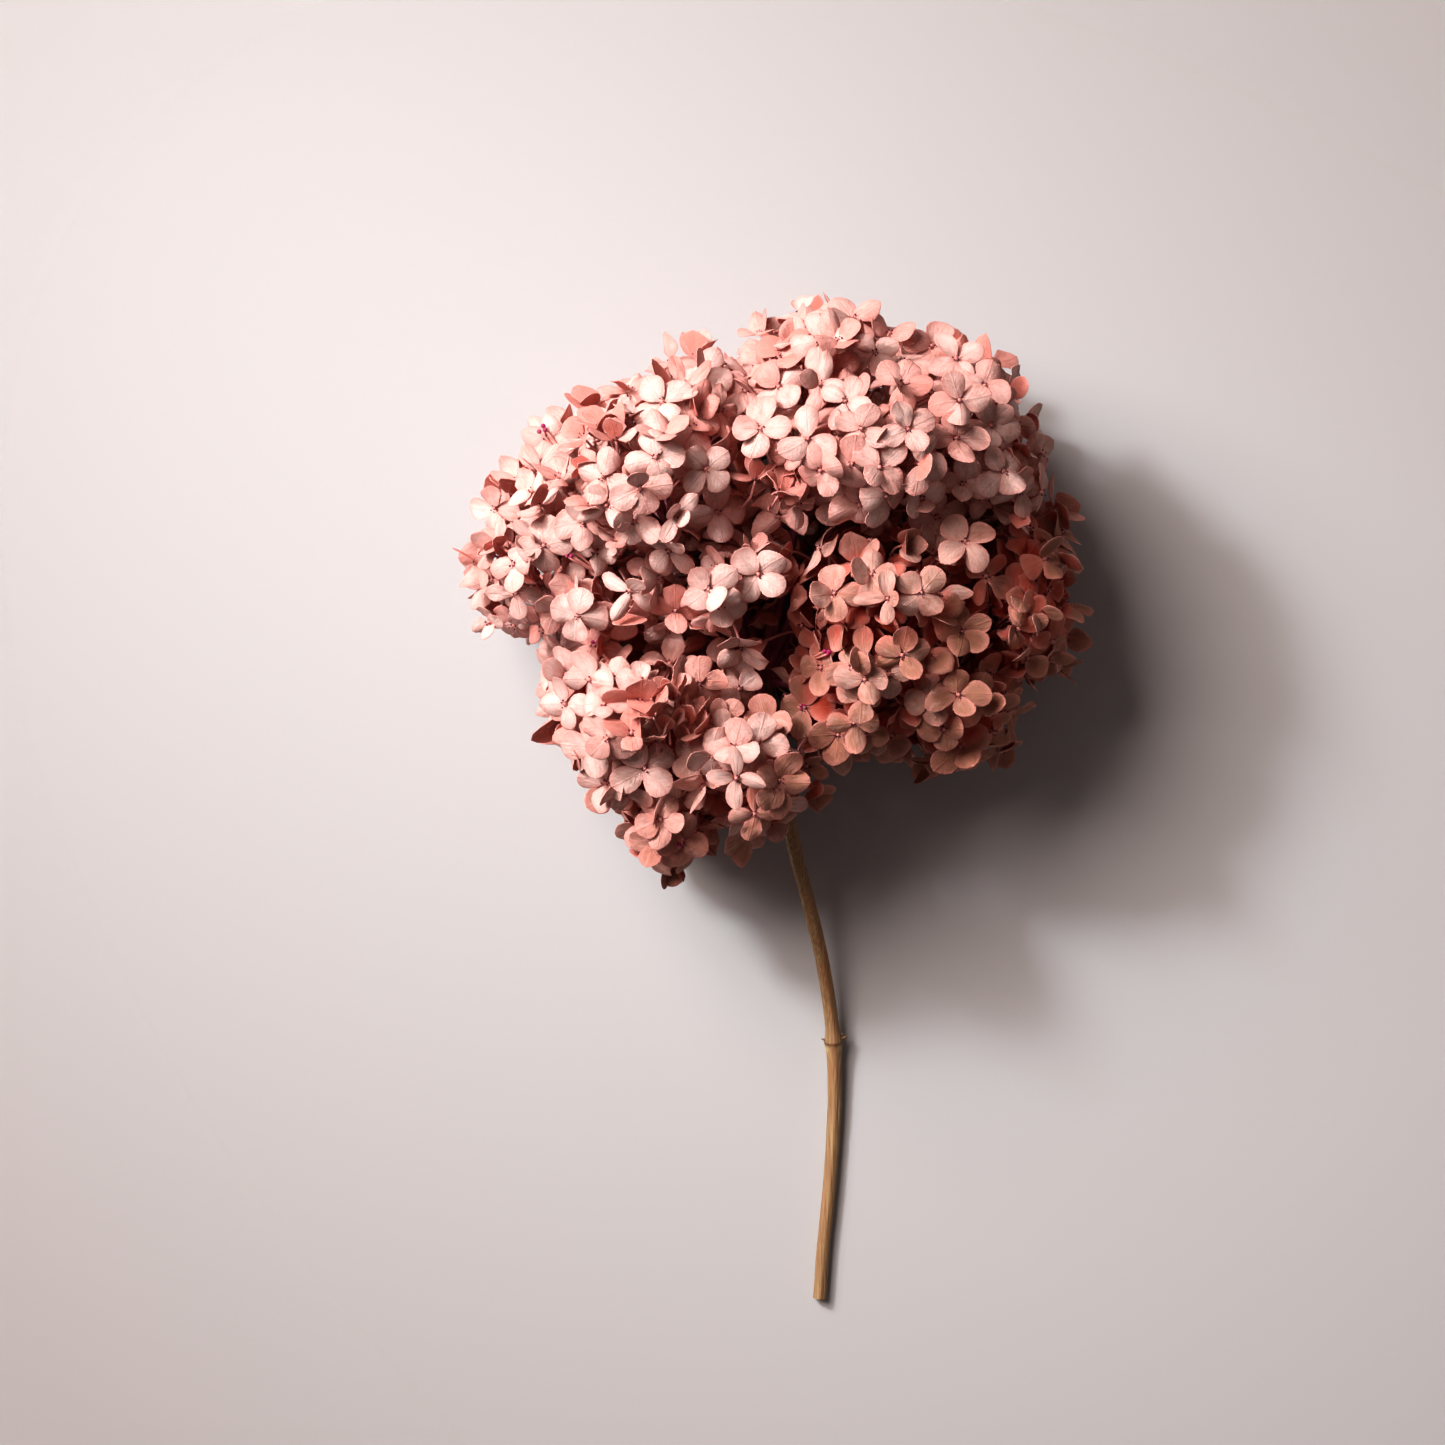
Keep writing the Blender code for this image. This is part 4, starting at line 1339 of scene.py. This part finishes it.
def stem_mesh():
    """The stem: ridged bark, a joint with its scars and leaf stubs, and a cut end with its pith."""
    rng = np.random.default_rng(SEED + 2)
    route = smooth_route(np.array(STEM_ROUTE) * MM, STEM_RING_STEP)
    centres = route[:, :3]
    angle = np.arange(STEM_SIDES) * math.tau / STEM_SIDES
    radii = bark_radii(centres, route[:, 3], angle, rng)
    direction = unit(np.gradient(centres, axis=0))
    sunk, shares, _ = np.array(CUT_RINGS).T
    ragged = RAGGEDNESS * rng.standard_normal((len(shares), STEM_SIDES))
    centres = np.concatenate((centres[0] + (sunk * MM)[:, None] * direction[0], centres))
    direction = np.concatenate((direction[:1].repeat(len(shares), axis=0), direction))
    radii = np.concatenate((shares[:, None] * radii[:1], radii))
    across = unit(np.cross(direction, UP))
    over = np.cross(across, direction)
    ring = across[:, None] * np.sin(angle)[:, None] - over[:, None] * np.cos(angle)[:, None]
    corners = centres[:, None] + radii[..., None] * ring
    corners[1 : len(shares)] += np.abs(ragged[1:, :, None]) * direction[0]
    stubs = leaf_stubs(route)
    corners, faces = joined([(corners, tube_faces(len(centres), STEM_SIDES)), stubs])
    corners[:, 2] = np.maximum(corners[:, 2], STEM_FLOOR)
    marks = {}
    for name, values in stem_marks(centres, angle).items():
        on_stubs = np.full(len(stubs[0]), STUB_SCAR if name == "scar" else 0.0)
        marks[name] = np.concatenate((values.ravel(), on_stubs))
    mesh = mesh_from("stem_bark", corners, faces, marks)
    mesh.set_sharp_from_angle(angle=math.radians(50))
    return mesh


def leaf_stubs(route):
    """The short broken stubs that two fallen leaves left on the joint."""
    nearest = route[np.argmin(np.abs(route[:, 1] - JOINT_AT))]
    centre, inner = nearest[:3], nearest[3]
    stubs = []
    for side, length, rise, radius in LEAF_STUBS:
        start = centre + np.array((side * 0.6 * inner, 0, 0.2 * inner))
        end = centre + np.array((side * (inner + length * MM), rise * MM, 0.35 * inner))
        bend = (start + end) / 2 + np.array((0, -0.3 * MM, 0.15 * MM))
        stubs.append(tubes([(start, bend, end)], (radius * MM, 0.3 * radius * MM), 6, 8))
    return joined(stubs)


def drawn_out(nodes, where, scale, contrast):
    """Mottling that is drawn out along the stem."""
    long = nodes.add("ShaderNodeMapping", {"Vector": where, "Scale": scale}).outputs[0]
    inputs = {"Vector": long, "Scale": 1.0, "Contrast": contrast}
    return place_group(nodes, mottle_group(), inputs)


def bark_material(settings):
    """Dry bark: golden brown, with long dark fibres, russet stretches and the joint's scars."""
    material, nodes, shader = new_material("bark")
    where = nodes.add("ShaderNodeTexCoord").outputs["Object"]
    fibres = drawn_out(nodes, where, (1700.0, 55.0, 1700.0), 2.6)
    russet = drawn_out(nodes, where, (420.0, 24.0, 420.0), 2.8)
    shade = nodes.math("MULTIPLY_ADD", fibres, 0.75, 0.25, clamp=True)
    face = nodes.mix(shade, colour(settings.bark_dark), colour(settings.bark))
    face = nodes.mix(nodes.math("MULTIPLY", russet, 0.6), face, colour(settings.russet))
    for mark in ("pale", "pith"):
        face = nodes.mix(nodes.attribute(mark), face, colour(settings.pith))
    scar = nodes.math("MULTIPLY", nodes.attribute("scar"), 0.9)
    final = nodes.mix(scar, face, colour(settings.bark_dark))
    finish_surface(nodes, shader, final, fibres, 0.6, 0.3 * MM, 0.55)
    return material


def two_tone_material(name, light, dark, scale):
    """Dry stalk or bud: one colour where kind is 0, the other where it is 1, both mottled."""
    material, nodes, shader = new_material(name)
    where = nodes.add("ShaderNodeTexCoord").outputs["Object"]
    kind = nodes.attribute("kind")
    patches = place_group(nodes, mottle_group(), {"Vector": where, "Scale": scale, "Contrast": 2.6})
    shift = nodes.math("SUBTRACT", nodes.math("MULTIPLY", patches, 0.7), 0.35)
    factor = nodes.math("ADD", kind, shift, clamp=True)
    final = nodes.mix(factor, colour(light), colour(dark))
    finish_surface(nodes, shader, final, patches, 0.4, 0.15 * MM, 0.6)
    return material


class HYDRANGEA_OT_add_sepals(bpy.types.Operator):
    """Add the sepals of every floret, an outer and an inner piece for each lobe"""

    bl_idname = "hydrangea.add_sepals"
    bl_label = "Add Sepals"

    def execute(self, context):
        settings = context.scene.hydrangea_head
        florets = head_florets(settings.floret_radius, settings.opening)
        for number, (lobe, shades) in enumerate(LOBE_SHADES.items()):
            own = [floret for floret in florets if floret.lobe == lobe]
            outer = [floret for floret in own if floret.layer == 0]
            inner = [floret for floret in own if floret.layer > 0]
            material = sepal_material(lobe, settings, *shades)
            parts = ((outer, "", 0), (inner, "_inner", 1))
            for members, ending, grid in parts:
                name = "sepals_" + lobe + ending
                mesh = sepal_mesh(name, members, SEPAL_GRIDS[grid], 2 * number + grid)
                piece = new_piece(name, mesh, material)
                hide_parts("florets_" + lobe)
        return {"FINISHED"}


class HYDRANGEA_OT_add_stalks(bpy.types.Operator):
    """Add the branching stalks that carry the florets"""

    bl_idname = "hydrangea.add_stalks"
    bl_label = "Add Stalks"

    def execute(self, context):
        head = context.scene.hydrangea_head
        stem = context.scene.hydrangea_stem
        florets = head_florets(head.floret_radius, head.opening)
        material = two_tone_material("flower_stalks", stem.stalk, stem.branch, 60.0)
        piece = new_piece("flower_stalks", stalk_mesh(florets, stem.stalk_radius), material)
        return {"FINISHED"}


class HYDRANGEA_OT_add_hearts(bpy.types.Operator):
    """Add the tiny bud and dark anthers at the middle of each floret, and the closed buds"""

    bl_idname = "hydrangea.add_hearts"
    bl_label = "Add Floret Hearts"

    def execute(self, context):
        head = context.scene.hydrangea_head
        florets = head_florets(head.floret_radius, head.opening)
        material = two_tone_material("floret_hearts", head.rosy, head.anther, 300.0)
        piece = new_piece("floret_hearts", heart_mesh(florets), material)
        material = two_tone_material("closed_buds", head.bud, head.rosy, 200.0)
        piece = new_piece("closed_buds", bud_mesh(), material)
        return {"FINISHED"}


class HYDRANGEA_OT_add_stem(bpy.types.Operator):
    """Add the stem with its bark, joint and cut end"""

    bl_idname = "hydrangea.add_stem"
    bl_label = "Add Stem"

    def execute(self, context):
        piece = new_piece("stem_bark", stem_mesh(), bark_material(context.scene.hydrangea_stem))
        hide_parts("stem")
        return {"FINISHED"}


def add_camera():
    """A camera straight above the surface that takes in the photograph's square field."""
    data = bpy.data.cameras.new("camera")
    data.sensor_width = SENSOR_WIDTH
    data.lens = SENSOR_WIDTH * CAMERA_HEIGHT / FIELD_WIDTH
    camera = bpy.data.objects.new("camera", data)
    camera.location = (*FIELD_MIDDLE, CAMERA_HEIGHT)
    bpy.context.scene.collection.objects.link(camera)
    bpy.context.scene.camera = camera


def add_light(name, place, target, size, power, tint, spread=180):
    data = bpy.data.lights.new(name, "AREA")
    data.shape = "DISK"
    data.size = size
    data.energy = power
    data.color = tint
    data.spread = math.radians(spread)
    light = bpy.data.objects.new(name, data)
    light.location = place
    light.rotation_euler = (Vector(target) - Vector(place)).to_track_quat("-Z", "Y").to_euler()
    bpy.context.scene.collection.objects.link(light)


class HYDRANGEA_OT_add_stage(bpy.types.Operator):
    """Add the plain pale floor, the soft studio light and the camera"""

    bl_idname = "hydrangea.add_stage"
    bl_label = "Add Stage"

    def execute(self, context):
        settings = context.scene.hydrangea_stage
        add_camera()
        corners = FLOOR_HALF * np.array([(-1, -1, 0), (1, -1, 0), (1, 1, 0), (-1, 1, 0)])
        material, _, shader = new_material("floor")
        shader.inputs["Base Color"].default_value = colour(settings.floor)
        shader.inputs["Roughness"].default_value = 0.9
        mesh = mesh_from("floor", corners, [(0, 1, 2, 3)])
        mesh.materials.append(material)
        floor = bpy.data.objects.new("floor", mesh)
        context.scene.collection.objects.link(floor)
        add_light("key", KEY_PLACE, KEY_TARGET, KEY_SIZE, settings.key_power, KEY_TINT, KEY_SPREAD)
        add_light("overhead", SKY_PLACE, SKY_TARGET, SKY_SIZE, settings.sky_power, SKY_TINT)
        world = bpy.data.worlds.new("studio")
        world.use_nodes = True
        background = world.node_tree.nodes["Background"]
        background.inputs["Color"].default_value = colour(WORLD_TINT)
        background.inputs["Strength"].default_value = settings.fill_strength
        context.scene.world = world
        context.scene.view_settings.view_transform = "Standard"
        context.scene.view_settings.look = "Medium High Contrast"
        return {"FINISHED"}


class HYDRANGEA_PT_panel(bpy.types.Panel):
    """Lists the steps that build the flower head"""

    bl_idname = "HYDRANGEA_PT_panel"
    bl_label = "Dried Hydrangea"
    bl_space_type = "VIEW_3D"
    bl_region_type = "UI"
    bl_category = "Hydrangea"

    def draw(self, context):
        for settings in SETTINGS:
            group = getattr(context.scene, settings)
            for name in group.bl_rna.properties.keys():
                if name not in ("rna_type", "name"):
                    self.layout.prop(group, name)
        for operator in OPERATORS:
            self.layout.operator(operator.bl_idname)


SETTINGS = {
    "hydrangea_head": HeadSettings,
    "hydrangea_stem": StemSettings,
    "hydrangea_stage": StageSettings,
}
OPERATORS = (
    HYDRANGEA_OT_add_stage,
    HYDRANGEA_OT_add_sepals,
    HYDRANGEA_OT_add_stalks,
    HYDRANGEA_OT_add_hearts,
    HYDRANGEA_OT_add_stem,
)
CLASSES = (*SETTINGS.values(), *OPERATORS, HYDRANGEA_PT_panel)


def register():
    for made in CLASSES:
        bpy.utils.register_class(made)
    for name, group in SETTINGS.items():
        setattr(bpy.types.Scene, name, PointerProperty(type=group))


def unregister():
    for name in SETTINGS:
        delattr(bpy.types.Scene, name)
    for made in reversed(CLASSES):
        bpy.utils.unregister_class(made)


def main():
    register()
    bpy.ops.hydrangea.add_stage()
    bpy.ops.hydrangea.add_sepals()
    bpy.ops.hydrangea.add_stalks()
    bpy.ops.hydrangea.add_hearts()
    bpy.ops.hydrangea.add_stem()


if __name__ == "__main__":
    main()
